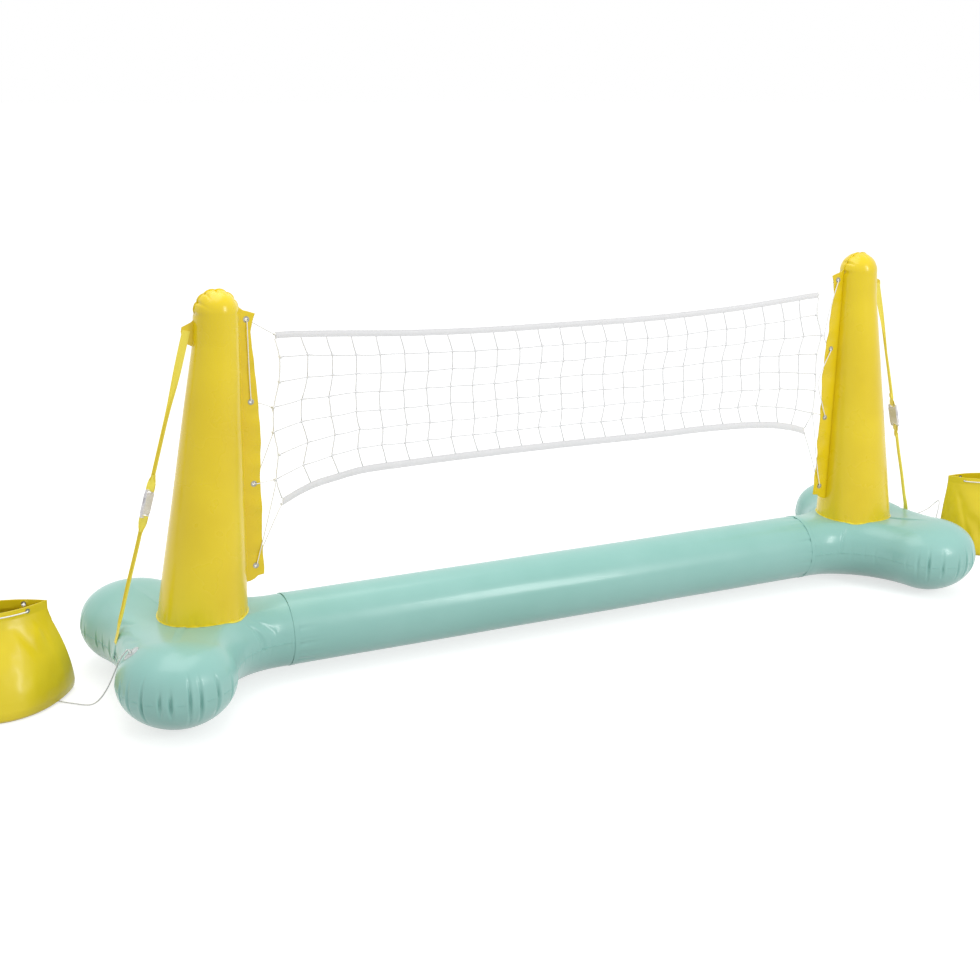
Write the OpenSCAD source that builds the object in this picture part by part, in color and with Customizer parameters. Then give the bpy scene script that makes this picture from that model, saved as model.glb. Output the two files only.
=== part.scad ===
// Floating pool volleyball net. Two tapered inflatable posts stand on an inflatable base,
// a laced net hangs between them, clip straps hold the posts up and two anchor bags lie on cords.
// Millimetres. X runs along the net, Z is up, the origin is on the floor in the middle.

/* [Base] */
// Radius of the round beam between the feet
beam_r = 85.5; // [78:0.5:92]
// How far the beam ends and a foot begins short of a post's inner side
foot_lead = 89; // [84:1:130]
// Centre of a foot's lobes, outward from a post's inner side
lobe_out = 212; // [170:1:226]
// Centre of a foot's lobes, from the net's plane
lobe_y = 183; // [170:1:195]
// Radius of a lobe, seen from above
lobe_r = 130; // [122:1:136]
// Radius of the hollow between the beam and a lobe
fillet_r = 157; // [145:1:165]
// Outer end of a foot in the notch between its lobes, outward from a post's inner side
notch_out = 306; // [291:1:316]
// Half height of a foot
foot_rise = 103.6; // [100:0.2:108]
// Half width over which a foot's skin rounds over
foot_round = 154; // [145:1:165]
// Height of the foot's seam over the floor, a little less than its half height
seam_z = 101.8; // [99:0.2:103]
// Thickness of the air-holding skin
skin_t = 0.8; // [0.6:0.1:1.5]
// Width of the flat seam round each foot
seam_w = 6; // [3:0.5:9]
// Thickness of the flat seam
seam_t = 1; // [0.6:0.1:1.4]
// Width of the welded cuff where a foot overlaps the beam
cuff_w = 12; // [8:1:20]

/* [Posts] */
// Upright inner side of each post, from the middle
post_side = 834; // [820:1:845]
// Radius of a post low down, at post_foot_z
post_foot_r = 100.6; // [92:0.2:104]
// Height at which post_foot_r is taken
post_foot_z = 190; // [180:1:200]
// Radius of a post at its neck
neck_r = 51.2; // [46:0.2:56]
// Height of the neck
neck_z = 800; // [760:1:830]
// Radius of the round crown
crown_r = 49.2; // [44:0.2:54]
// Height of the crown's centre
crown_z = 865; // [850:1:880]
// Width of the flat seam over the crown
crown_seam_w = 3; // [2:0.5:5]
// Depth of the scallops in the crown's seam
scallop_h = 1.5; // [0.5:0.1:2.5]
// Number of scallops
scallops = 6; // [4:1:8]
// Width of the welded ring round a post's foot
post_weld_w = 6; // [4:0.5:10]
// Thickness of the flap, the ear and the crown's seam
flap_t = 1.2; // [0.8:0.1:2]
// Heights of the four flap eyelets
eyelet_zs = [844, 657, 466, 270];
// Radius of an eyelet's bore
eyelet_bore_r = 3.2; // [2.6:0.1:3.8]
// Radius of an eyelet's rolled rim
eyelet_rim_r = 7; // [6:0.1:8]
// Radius of an eyelet's barrel
eyelet_barrel_r = 4.2; // [4:0.1:5]
// Thickness of an eyelet's rim
eyelet_rim_t = 0.7; // [0.5:0.1:1]

/* [Net] */
// Gaps along the net
net_cols = 25; // [20:1:30]
// Gaps up the net
net_rows = 7; // [5:1:8]
// Width of the net's cords
mesh_w = 2; // [1.5:0.1:3]
// Thickness of the net
mesh_t = 2; // [1.5:0.1:3]
// Height of the top tape
top_tape_w = 15; // [10:1:18]
// Height of the bottom tape
bottom_tape_w = 18; // [12:1:22]
// Thickness of both tapes
tape_t = 2.4; // [1.5:0.1:3]
// Width of the cord along each end of the net
side_cord_w = 3.4; // [2.5:0.1:5]
// Radius of the lacing cord
lace_r = 1.2; // [0.9:0.1:1.4]

/* [Clip straps] */
// Width of a strap
strap_w = 18; // [14:0.5:18.5]
// Thickness of a strap
strap_t = 0.6; // [0.4:0.1:0.8]
// Height of a strap's top end on its ear
strap_top_z = 828; // [815:1:835]
// How far a strap's top end stands out from the post
strap_reach = 15.3; // [14:0.1:20]
// How far past the notch a strap meets the foot's seam
strap_foot_out = 4; // [2:0.5:6]
// Distance down the strap to the clip's upper end
clip_start = 360; // [300:1:400]
// Width of a clip
clip_w = 24; // [23.5:0.5:30]
// Thickness of a clip
clip_t = 8.5; // [8:0.5:10]
// Length of a clip's socket half
socket_len = 36; // [34:1:40]
// Length of a clip's tongue half, outside the socket
tongue_len = 28; // [26:1:34]
// Clearance between the clip's halves
clip_gap = 0.3; // [0.2:0.05:0.5]

/* [Valves] */
// Radius of a valve's flange
valve_flange_r = 13; // [10:0.5:16]
// Outer radius of a valve's stem
valve_stem_r = 6; // [5:0.25:8]
// Length of a valve's stem
valve_stem_len = 12; // [10:0.5:16]
// Bore radius of a valve's stem
valve_bore_r = 4; // [3:0.25:4.5]
// Clearance round a valve's plug
plug_gap = 0.06; // [0.03:0.01:0.1]
// Place of the base's valve along the beam
base_valve_x = 300; // [-600:10:600]
// Height of a post's valve over the floor
post_valve_z = 300; // [260:5:500]

/* [Anchor bags] */
// Height of a bag
bag_h = 220; // [180:5:260]
// Thickness of a bag's sheet
bag_t = 1.2; // [0.8:0.1:2]
// Height of the straight cuff round a bag's mouth
bag_cuff = 20; // [16:1:30]
// Middle of the left bag: how far out from the lobes' centres, and how far back
bag_left_out = [341.5, 100];
// Middle of the right bag: how far out from the lobes' centres, and how far back
bag_right_out = [403.4, 18.8];
// Turn of the left bag
bag_left_turn = 0; // [-10:1:10]
// Turn of the right bag
bag_right_turn = -25; // [-35:1:-15]
// Half width and half depth of the left bag, at its foot
bag_left_foot = [177, 135];
// Half width and half depth of the left bag's mouth
bag_left_mouth = [125, 42];
// Half width and half depth of the right bag, at its foot
bag_right_foot = [127, 95];
// Half width and half depth of the right bag's mouth
bag_right_mouth = [114, 34];
// Radius of a bag's drawcord
drawcord_r = 1.5; // [1:0.1:2]
// Radius of an anchor cord
anchor_r = 1.5; // [1:0.1:2]

/* [Hidden] */

aqua = [0.55, 0.80, 0.74];
yellow = [0.87, 0.80, 0.20];
white = [0.93, 0.93, 0.92];
clear_white = [0.84, 0.84, 0.86];
grey_metal = [0.70, 0.70, 0.66];

round_fn = 96;
small_fn = 32;

// Side of the posts at which the lists of points below are drawn, and how far the real one is from it
drawn_side = 834;
end_shift = post_side - drawn_side;
function moved(line, d) = [for (p = line) p + (len(p) == 3 ? [d, 0, 0] : [d, 0])];

// ---- Plan of a foot: beam side, hollow, lobe and notch, as tangent arcs ----
foot_start = post_side - foot_lead;
lobe_x = post_side + lobe_out;
notch_x = post_side + notch_out;
fillet_y = beam_r + fillet_r;
fillet_x = lobe_x - sqrt(pow(lobe_r + fillet_r, 2) - pow(fillet_y - lobe_y, 2));
fillet_end = atan2(lobe_y - fillet_y, lobe_x - fillet_x);
notch_in = notch_x - lobe_x;
notch_r = (notch_in * notch_in + lobe_y * lobe_y - lobe_r * lobe_r) / (2 * (lobe_r - notch_in));
notch_cx = notch_x + notch_r;
lobe_end = atan2(-lobe_y, notch_cx - lobe_x);
notch_start = atan2(lobe_y, lobe_x - notch_cx);
// Middle of a foot, equally far from the hollows and the notch
reach = notch_x + fillet_r;
hub_x = (reach * reach - fillet_x * fillet_x - fillet_y * fillet_y) / (2 * (reach - fillet_x));
swell_from = foot_start - 5;
swell_to = swell_from + 180;

fillet_n = 8;
lobe_n = 18;
notch_n = fillet_n / 2;
half_n = fillet_n + lobe_n + notch_n;
edge_n = 2 * half_n + 1;
rings_n = 6;
core_n = fillet_n + 1 + fillet_n / 2;

function on_arc(cx, cy, r, a) = [cx + r * cos(a), cy + r * sin(a)];

// Point i of the half outline, moved in by w
function half_edge(i, w) =
    i == 0 ? [foot_start, beam_r - w] :
    i <= fillet_n ?
        on_arc(fillet_x, fillet_y, fillet_r + w, -90 + (fillet_end + 90) * i / fillet_n) :
    i <= fillet_n + lobe_n ?
        on_arc(lobe_x, lobe_y, lobe_r - w,
            fillet_end + 180 + (lobe_end - fillet_end - 180) * (i - fillet_n) / lobe_n) :
        on_arc(notch_cx, 0, notch_r + w,
            notch_start + (180 - notch_start) * (i - fillet_n - lobe_n) / notch_n);

function flip_y(p) = [p[0], -p[1]];
function edge(m, w) = m <= half_n ? half_edge(m, w) : flip_y(half_edge(2 * half_n - m, w));

// Spine of a foot: along the beam to the hub, then out to a lobe's centre
function spine(k) =
    k <= notch_n ? [foot_start + (hub_x - foot_start) * k / notch_n, 0] :
    k <= fillet_n ?
        [hub_x + (lobe_x - hub_x) * (k - notch_n) / notch_n, lobe_y * (k - notch_n) / notch_n] :
        flip_y(spine(k - notch_n));
function half_spine_id(i) =
    i <= fillet_n ? i :
    i <= fillet_n + lobe_n ? fillet_n :
    2 * fillet_n + lobe_n - i;
function spine_id(m) =
    let (k = half_spine_id(m <= half_n ? m : 2 * half_n - m))
    m <= half_n || k <= notch_n ? k : k + notch_n;

function between(a, b, s) = a + (b - a) * s;
function smooth(s) = s <= 0 ? 0 : s >= 1 ? 1 : s * s * (3 - 2 * s);

// How far a point of the plan lies inside the outline
function inside(x, y) =
    let (
        v = abs(y),
        fillet_a = atan2(v - fillet_y, x - fillet_x),
        lobe_a = atan2(v - lobe_y, x - lobe_x),
        notch_a = atan2(v, x - notch_cx)
    )
    min(
        x <= fillet_x ? beam_r - v : 1000,
        x > fillet_x && fillet_a <= fillet_end ? norm([x - fillet_x, v - fillet_y]) - fillet_r : 1000,
        lobe_a >= lobe_end - 0.001 && lobe_a <= fillet_end + 180.001 ?
            lobe_r - norm([x - lobe_x, v - lobe_y]) : 1000,
        notch_a >= notch_start ? norm([x - notch_cx, v]) - notch_r : 1000
    );

// Height of the skin over the seam, for a shell moved in by w
function swell(x, y, w) =
    let (
        s = smooth((x - swell_from) / (swell_to - swell_from)),
        across = beam_r + (foot_round - beam_r) * s - w,
        up = beam_r + (foot_rise - beam_r) * s - w,
        t = max(0, min(1, (inside(x, y) - w) / across))
    )
    up * sqrt(1 - (1 - t) * (1 - t));
function foot_top(x, y) = seam_z + swell(x, y, 0);

function ring_point(m, r, w) = between(edge(m, w), spine(spine_id(m)), 1 - cos(90 * r / rings_n));
function lift(p, w, side) =
    [p[0], p[1], side > 0 ? seam_z + swell(p[0], p[1], w) : max(w, seam_z - swell(p[0], p[1], w))];

// Points of one shell: the seam's ring, rings over it, spine over it, rings under it, spine under it
function shell_points(w) = concat(
    [for (m = [0 : edge_n - 1]) let (p = edge(m, w)) [p[0], p[1], seam_z]],
    [for (r = [1 : rings_n - 1], m = [0 : edge_n - 1]) lift(ring_point(m, r, w), w, 1)],
    [for (k = [0 : core_n - 1]) lift(spine(k), w, 1)],
    [for (r = [1 : rings_n - 1], m = [0 : edge_n - 1]) lift(ring_point(m, r, w), w, -1)],
    [for (k = [0 : core_n - 1]) lift(spine(k), w, -1)]
);
side_n = (rings_n - 1) * edge_n + core_n;
shell_n = edge_n + 2 * side_n;
function at_ring(m, r, side) =
    r == 0 ? m :
    r == rings_n ? edge_n + (side > 0 ? 0 : side_n) + (rings_n - 1) * edge_n + spine_id(m) :
    edge_n + (side > 0 ? 0 : side_n) + (r - 1) * edge_n + m;
function turned(f, on) = on ? [for (i = [len(f) - 1 : -1 : 0]) f[i]] : f;
function shell_faces(base, out) = [
    for (side = [1, -1], r = [0 : rings_n - 1], m = [0 : edge_n - 2])
        let (
            a = base + at_ring(m, r, side),
            b = base + at_ring(m + 1, r, side),
            c = base + at_ring(m + 1, r + 1, side),
            d = base + at_ring(m, r + 1, side),
            rev = (side < 0) == out
        )
        each c == d ? [turned([a, b, c], rev)] : [turned([a, b, c], rev), turned([a, c, d], rev)]
];
// Loop round the open end that meets the beam
end_loop = concat(
    [for (r = [0 : rings_n]) at_ring(0, r, 1)],
    [for (r = [rings_n - 1 : -1 : 0]) at_ring(edge_n - 1, r, 1)],
    [for (r = [1 : rings_n]) at_ring(edge_n - 1, r, -1)],
    [for (r = [rings_n - 1 : -1 : 1]) at_ring(0, r, -1)]
);
end_faces = [
    for (i = [0 : len(end_loop) - 1])
        let (a = end_loop[i], b = end_loop[(i + 1) % len(end_loop)])
        each [[a, b, b + shell_n], [a, b + shell_n, a + shell_n]]
];

// ---- Shape of a post ----
function post_r(z) =
    z <= neck_z ? neck_r + (post_foot_r - neck_r) * (neck_z - z) / (neck_z - post_foot_z) :
    neck_r + (crown_r - neck_r) * (z - neck_z) / (crown_z - neck_z);
function post_x(z) = post_side + post_r(z);
weld_lift = 0.3;
post_lean = atan((post_foot_r - neck_r) / (neck_z - post_foot_z));
function on_post(a, z, w) = [post_x(z) + (post_r(z) - w) * cos(a), (post_r(z) - w) * sin(a)];
// Height at which a post meets the foot, found by closing in on it
function landing(a, w, z, n) =
    n == 0 ? z : let (p = on_post(a, z, w)) landing(a, w, foot_top(p[0], p[1]) + weld_lift, n - 1);
post_sides = 36;
post_rings = 8;
dome_rings = 6;
crown_x = post_x(crown_z);
function post_level(a, j, w) =
    let (z = between(landing(a, w, post_foot_z, 6), neck_z, j / post_rings), p = on_post(a, z, w))
    [p[0], p[1], z];
function dome_level(a, j, w) =
    let (t = 90 * j / dome_rings, r = crown_r - w)
    [crown_x + r * cos(t) * cos(a), r * cos(t) * sin(a), crown_z + r * sin(t)];
function post_points(w) = concat(
    [for (j = [0 : post_rings], i = [0 : post_sides - 1]) post_level(360 * i / post_sides, j, w)],
    [for (j = [0 : dome_rings - 1], i = [0 : post_sides - 1]) dome_level(360 * i / post_sides, j, w)],
    [[crown_x, 0, crown_z + crown_r - w]]
);
post_levels = post_rings + 1 + dome_rings;
post_n = post_levels * post_sides + 1;
function post_faces(base, out) = concat(
    [for (j = [0 : post_levels - 2], i = [0 : post_sides - 1])
        let (
            a = base + j * post_sides + i,
            b = base + j * post_sides + (i + 1) % post_sides,
            c = b + post_sides,
            d = a + post_sides
        )
        each [turned([a, c, b], !out), turned([a, d, c], !out)]],
    [for (i = [0 : post_sides - 1])
        let (a = base + (post_levels - 1) * post_sides + i,
            b = base + (post_levels - 1) * post_sides + (i + 1) % post_sides)
        turned([a, base + post_n - 1, b], !out)]
);
post_rim = [for (i = [0 : post_sides - 1]) let (j = (i + 1) % post_sides)
    each [[i, j, j + post_n], [i, j + post_n, i + post_n]]];

// ---- Outline of the net and its tapes, in the net's plane ----
drawn_half = 750;
function drawn(line) = [for (p = line) [p[0] * (drawn_half + end_shift) / drawn_half, p[1]]];
top_edge = drawn([
    [-750, 811], [-727, 812], [-645, 808], [-537, 801], [-450, 795], [-300, 789], [-190, 787],
    [0, 786], [140, 785], [260, 786], [380, 790], [500, 795], [600, 803], [680, 809],
    [706, 812], [754, 814]
]);
bottom_edge = drawn([
    [-741, 424], [-711, 439], [-674, 454], [-650, 461], [-613, 467], [-576, 474], [-538, 480],
    [-370, 483], [-185, 485], [40, 484], [280, 481], [400, 483], [530, 480], [620, 473],
    [675, 463], [709, 455], [741, 443]
]);
left_edge = drawn([[-750, 796], [-738, 754], [-741, 697], [-757, 640], [-758, 582], [-745, 528], [-756, 470],
    [-741, 424]]);
right_edge = drawn([[754, 799], [751, 754], [776, 697], [762, 647], [764, 592], [767, 545], [765, 482],
    [741, 443]]);

function lowered(line, d) = [for (p = line) [p[0], p[1] - d]];
function backward(line) = [for (i = [len(line) - 1 : -1 : 0]) line[i]];
// Height of a line at x, and a point a share s along a line by count
function height_at(line, x, i = 0) =
    i >= len(line) - 2 || x <= line[i + 1][0] ?
        between(line[i][1], line[i + 1][1], (x - line[i][0]) / (line[i + 1][0] - line[i][0])) :
        height_at(line, x, i + 1);
function share_of(line, s) =
    let (q = s * (len(line) - 1), i = min(floor(q), len(line) - 2))
    between(line[i], line[i + 1], q - i);
under_tape = lowered(top_edge, top_tape_w);
top_left = under_tape[0];
top_right = under_tape[len(under_tape) - 1];

// Knot of the net at column i and row j, counted from the top left
function knot(i, j) =
    let (
        s = i / net_cols,
        f = j / net_rows,
        x_top = between(top_left[0], top_right[0], s),
        x_low = between(bottom_edge[0][0], bottom_edge[len(bottom_edge) - 1][0], s),
        straight = between([x_top, height_at(under_tape, x_top)], [x_low, height_at(bottom_edge, x_low)], f),
        left_off = share_of(left_edge, f) - between(left_edge[0], left_edge[len(left_edge) - 1], f),
        right_off = share_of(right_edge, f) - between(right_edge[0], right_edge[len(right_edge) - 1], f),
        near = 3 / net_cols
    )
    straight + left_off * (1 - smooth(s / near)) + right_off * (1 - smooth((1 - s) / near));
// Corners of a gap: the knots moved in by half a cord, and by a selvage along the edges
selvage = 3;
function gap(i, j) =
    let (
        a = knot(i, j), b = knot(i + 1, j), c = knot(i + 1, j + 1), d = knot(i, j + 1),
        h = mesh_w / 2,
        up = j == 0 ? h + selvage : h,
        low = j == net_rows - 1 ? h + selvage : h,
        west = i == 0 ? h + selvage / 2 : h,
        east = i == net_cols - 1 ? h + selvage / 2 : h
    )
    [a + [west, -up], b + [-east, -up], c + [-east, low], d + [west, low]];
net_outline = concat(
    under_tape,
    [for (j = [1 : net_rows - 1]) knot(net_cols, j)],
    backward(bottom_edge),
    [for (j = [net_rows - 1 : -1 : 1]) knot(0, j)]
);

// ---- Straps and clips ----
tab_t = 1.2;
strap_y = -(flap_t + strap_t) / 2;
function post_outer(z) = post_side + 2 * post_r(z);
strap_top = [post_outer(strap_top_z) + strap_reach, strap_top_z];
strap_end = [notch_x + strap_foot_out, seam_z + seam_t / 2 + tab_t + 0.2];
strap_run = strap_end - strap_top;
strap_len = norm(strap_run);
strap_tilt = 180 - atan2(strap_run[0], -strap_run[1]);
// Twist of the left and the right strap at the clip; at the foot both lie across the notch
clip_twist_left = 35;
clip_twist_right = 75;
foot_twist = 90;
clip_bar = 3;
clip_slot = 4.5;
loop_gap = 0.1;
loop_lead = 24;
clip_end = clip_start + socket_len + clip_gap + tongue_len;
clip_wall = 1.8;
prong_w = 4;
prong_len = 19;
socket_depth = 21;
strap_step = 12;

// ---- Bags ----
bag_sides = 32;
bag_left_at = [-lobe_x - bag_left_out[0], bag_left_out[1]];
bag_right_at = [lobe_x + bag_right_out[0], bag_right_out[1]];
function lens(a, b, t) = [a * cos(t), b * sin(t) * abs(sin(t))];
// Levels of a bag from its foot to its mouth: height and how far from foot to mouth, and a shrink
function bag_levels(h) = [
    [0, 0, 0.94], [6, 0, 0.985], [22, 0, 1], [h * 0.3, 0.12, 1], [h * 0.6, 0.5, 1],
    [h - bag_cuff - 24, 0.88, 1], [h - bag_cuff, 1, 1], [h, 1, 1]
];
bag_level_n = 8;
function bag_ring(foot, mouth, level, w, z) =
    let (size = between(foot, mouth, level[1]) * level[2])
    [for (i = [0 : bag_sides - 1])
        let (p = lens(size[0] - 1.4 * w, size[1] - w, 360 * i / bag_sides)) [p[0], p[1], z]];
function bag_points(foot, mouth, w) =
    let (levels = bag_levels(bag_h))
    [for (k = [0 : bag_level_n - 1]) each bag_ring(foot, mouth, levels[k], w, max(levels[k][0], w))];
bag_n = bag_level_n * bag_sides;
function bag_skin(base, out) = [
    for (k = [0 : bag_level_n - 2], i = [0 : bag_sides - 1])
        let (
            a = base + k * bag_sides + i,
            b = base + k * bag_sides + (i + 1) % bag_sides,
            c = b + bag_sides,
            d = a + bag_sides
        )
        each [turned([a, c, b], !out), turned([a, d, c], !out)]
];
bag_rim = [
    for (i = [0 : bag_sides - 1])
        let (a = bag_n - bag_sides + i, b = bag_n - bag_sides + (i + 1) % bag_sides)
        each [[b, a, a + bag_n], [b, a + bag_n, b + bag_n]]
];
// The four sides of a bag's mouth that carry its eyelets
bag_eyelet_sides = [4, 11, 20, 27];
function bag_side_mid(mouth, i) =
    (lens(mouth[0], mouth[1], 360 * i / bag_sides) + lens(mouth[0], mouth[1], 360 * (i + 1) / bag_sides)) / 2;
function bag_side_turn(mouth, i) =
    let (
        p = lens(mouth[0], mouth[1], 360 * i / bag_sides),
        q = lens(mouth[0], mouth[1], 360 * (i + 1) / bag_sides)
    )
    atan2(q[1] - p[1], q[0] - p[0]) - 90;
bag_eyelet_r = 5.5;
bag_eyelet_bore = 2.6;
bag_eyelet_barrel = 3.2;
bag_eyelet_t = 0.8;
bag_eyelet_z = bag_h - bag_cuff / 2;

// ---- Cords ----
// Sweep of a round section along points, the section's ring carried on from point to point
function unit(v) = v / norm(v);
function heading(path, i) =
    i == 0 ? unit(path[1] - path[0]) :
    i == len(path) - 1 ? unit(path[i] - path[i - 1]) :
    unit(unit(path[i] - path[i - 1]) + unit(path[i + 1] - path[i]));
function first_normal(d) =
    abs(d[1]) < 0.9 ? unit(cross(d, [0, 1, 0])) : unit(cross(d, [0, 0, 1]));
function normals(path, i, last) =
    let (d = heading(path, i), n = i == 0 ? first_normal(d) : unit(last - d * (last * d)))
    i == len(path) - 1 ? [n] : concat([n], normals(path, i + 1, n));
module sweep_tube(path, r, sides) {
    ns = normals(path, 0, [0, 0, 1]);
    count = len(path);
    points = [
        for (i = [0 : count - 1], k = [0 : sides - 1])
            let (d = heading(path, i), n = ns[i], b = cross(d, n), a = 360 * k / sides)
            path[i] + r * (n * cos(a) + b * sin(a))
    ];
    wall = [
        for (i = [0 : count - 2], k = [0 : sides - 1])
            let (a = i * sides + k, b = i * sides + (k + 1) % sides)
            each [[a, a + sides, b + sides], [a, b + sides, b]]
    ];
    start_cap = [for (k = [1 : sides - 2]) [0, k, k + 1]];
    last = (count - 1) * sides;
    end_cap = [for (k = [1 : sides - 2]) [last, last + k + 1, last + k]];
    polyhedron(points = points, faces = concat(wall, start_cap, end_cap), convexity = 6);
}
// A round-cornered run through chosen points: each inner corner is cut by a quarter and smoothed
function softened(path) = concat(
    [path[0]],
    [for (i = [1 : len(path) - 2]) each [
        between(path[i], path[i - 1], 0.25),
        path[i] * 0.75 + (path[i - 1] + path[i + 1]) * 0.125,
        between(path[i], path[i + 1], 0.25)
    ]],
    [path[len(path) - 1]]
);
cord_sides = 8;
lace_sides = 6;

// Lacing of the left end, from the net's top corner through the four eyelets to its lower corner
lace_y = 3.2;
lace_left = moved([
    [-751, 0, 806], [-757, 1, 809], [-790, 3, 829], [-809, 3.6, 841], [-816, 3.6, 844], [-816, -3.6, 844],
    [-815, -4, 836], [-814, -4, 760], [-811, -3.8, 668], [-810, -3.6, 657], [-810, 3.6, 657],
    [-802, 3.6, 655], [-785, 3.2, 650], [-764, 3.5, 642], [-757, 3.5, 632], [-757, 4, 606], [-759, 3.8, 578],
    [-764, 3.5, 566], [-785, 3.2, 512], [-803, 3.6, 475], [-808, 3.6, 466], [-808, -3.6, 466],
    [-800, -3.6, 466], [-785, -3.2, 468], [-762, -3.5, 471], [-757, -3.8, 462], [-762, -3.6, 440],
    [-785, -3.2, 350], [-804, -3.6, 282], [-808, -3.6, 270], [-808, 3.6, 270], [-803, 3.6, 281],
    [-785, 3, 320], [-762, 2, 370], [-742.5, 0, 410]
], -end_shift);
lace_right = moved([
    [755, 0, 808], [761, 1, 811], [790, 3, 829], [809, 3.6, 841], [816, 3.6, 844], [816, -3.6, 844],
    [812, -3.8, 830], [800, -3.6, 790], [791, -3.4, 755], [784, -3.4, 712], [784, -1, 697],
    [786, 2.8, 688], [796, 3.4, 674], [805, 3.6, 662], [810, 3.6, 657], [810, -3.6, 657],
    [806, -3.8, 647], [792, -3.6, 620], [778, -3.6, 586], [772, -3.6, 566], [778, -3.6, 546],
    [792, -3.6, 508], [804, -3.8, 476], [808, -3.6, 466], [808, 3.6, 466], [799, 3.6, 472],
    [784, 3.4, 478], [769, 3.4, 479], [771, 3, 462], [778, 1, 430], [785, -3.4, 360],
    [803, -3.8, 284], [808, -3.6, 270], [808, 3.6, 270], [802, 3.6, 284], [782, 3, 340], [758, 2, 395],
    [742.5, 0, 428]
], end_shift);

// Anchor cord of the left bag, from the loop on the foot over the floor to the bag
anchor_left = moved([
    [-1141.5, -150, 177.5], [-1150, -143, 163], [-1158, -132, 143], [-1164, -118, 117], [-1170, -100, 88],
    [-1177, -78, 58], [-1187, -55, 29], [-1199, -32, 9], [-1213, -12, 2.5], [-1229, 4, 2],
    [-1244, 16, 2], [-1257, 27, 2.5], [-1265, 35, 4]
], -end_shift);
anchor_right = moved([
    [1141.5, 150, 177.5], [1158, 134, 150], [1180, 116, 127], [1208, 104, 111], [1238, 98, 103],
    [1270, 98, 102], [1303, 100, 109], [1317, 100, 115], [1330, 98, 126], [1337, 91, 137],
    [1336, 82, 136], [1328, 76, 116], [1319, 72, 90], [1311, 69, 56], [1306, 66, 24],
    [1308, 66, 6], [1318, 69, 3], [1337, 71, 3.5]
], end_shift);

// ---- Patch that ties a cord to the foot ----
patch_at = [lobe_x + 88, lobe_y - 30];
patch_lift = 0.3;
patch_size = [16, 21];
patch_t = 1;
patch_normal = unit([0.787 * 0.946, -0.787 * 0.323, 1]);
patch_n = 20;
loop_r = 7;
loop_tube = 2;

module beam_tube() {
    color(aqua)
    translate([-foot_start, 0, seam_z])
    rotate([0, 90, 0])
    difference() {
        cylinder(r = beam_r, h = 2 * foot_start, $fn = round_fn);
        translate([0, 0, -1])
            cylinder(r = beam_r - skin_t, h = 2 * foot_start + 2, $fn = round_fn);
    }
}

module foot() {
    color(aqua)
    polyhedron(
        points = concat(shell_points(0), shell_points(skin_t)),
        faces = concat(shell_faces(0, true), shell_faces(shell_n, false), end_faces),
        convexity = 8
    );
}

module foot_seam() {
    color(aqua)
    translate([0, 0, seam_z - seam_t / 2])
    linear_extrude(seam_t)
    polygon(concat(
        [for (m = [0 : edge_n - 1]) edge(m, -seam_w)],
        [for (m = [edge_n - 1 : -1 : 0]) edge(m, 0)]
    ));
}

module cuff() {
    cuff_t = 0.8;
    color(aqua)
    translate([foot_start - cuff_w, 0, seam_z])
    rotate([0, 90, 0])
    difference() {
        cylinder(r = beam_r + cuff_t, h = cuff_w, $fn = round_fn);
        translate([0, 0, -1])
            cylinder(r = beam_r, h = cuff_w + 2, $fn = round_fn);
    }
}

module post() {
    color(yellow)
    polyhedron(
        points = concat(post_points(0), post_points(skin_t)),
        faces = concat(post_faces(0, true), post_faces(post_n, false), post_rim),
        convexity = 4
    );
}

// Flat ring that follows the foot's skin round the post
module post_weld() {
    weld_t = 0.8;
    weld_out = [0, post_weld_w, post_weld_w, 0];
    points = [
        for (i = [0 : post_sides - 1], k = [0 : 3])
            let (
                a = 360 * i / post_sides,
                z = landing(a, 0, post_foot_z, 6),
                p = on_post(a, z, -weld_out[k]),
                up = k > 1 ? weld_t : 0
            )
            [p[0], p[1], foot_top(p[0], p[1]) + weld_lift + up]
    ];
    faces = [
        for (i = [0 : post_sides - 1], k = [0 : 3])
            let (
                a = i * 4 + k,
                b = i * 4 + (k + 1) % 4,
                c = ((i + 1) % post_sides) * 4 + (k + 1) % 4,
                d = ((i + 1) % post_sides) * 4 + k
            )
            each [[a, b, c], [a, c, d]]
    ];
    color(yellow)
    polyhedron(points = points, faces = faces, convexity = 4);
}

// Stands a shape drawn in X and Z upright in the net's plane, t thick
module upright(t) {
    translate([0, t / 2, 0])
    rotate([90, 0, 0])
    linear_extrude(t)
    children();
}

module crown_seam() {
    steps = 72;
    color(yellow)
    upright(flap_t)
    polygon(concat(
        [for (i = [0 : steps])
            let (a = 180 * i / steps, r = crown_r + crown_seam_w + scallop_h * abs(sin(a * scallops)))
            [crown_x + r * cos(a), crown_z + r * sin(a)]],
        [for (i = [steps : -1 : 0]) on_arc(crown_x, crown_z, crown_r, 180 * i / steps)]
    ));
}

flap_edge = concat([[post_side, 232]], moved([
    [822, 234], [812, 238], [803, 245], [789, 247], [788, 262], [792, 330], [790, 400],
    [793, 480], [789, 560], [792, 640], [798, 720], [804, 780], [806, 815], [802, 838], [796, 856],
    [810, 860]
], end_shift), [[post_side - crown_seam_w, crown_z], [post_side, crown_z]]);
// How far each eyelet's middle lies inside the post's inner side
eyelet_ins = [18, 24, 26, 26];

module net_flap() {
    color(yellow)
    difference() {
        upright(flap_t) polygon(flap_edge);
        for (i = [0 : len(eyelet_zs) - 1])
            translate([post_side - eyelet_ins[i], 0, eyelet_zs[i]])
            rotate([90, 0, 0])
                cylinder(r = eyelet_barrel_r, h = flap_t + 2, center = true, $fn = small_fn);
    }
}

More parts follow.
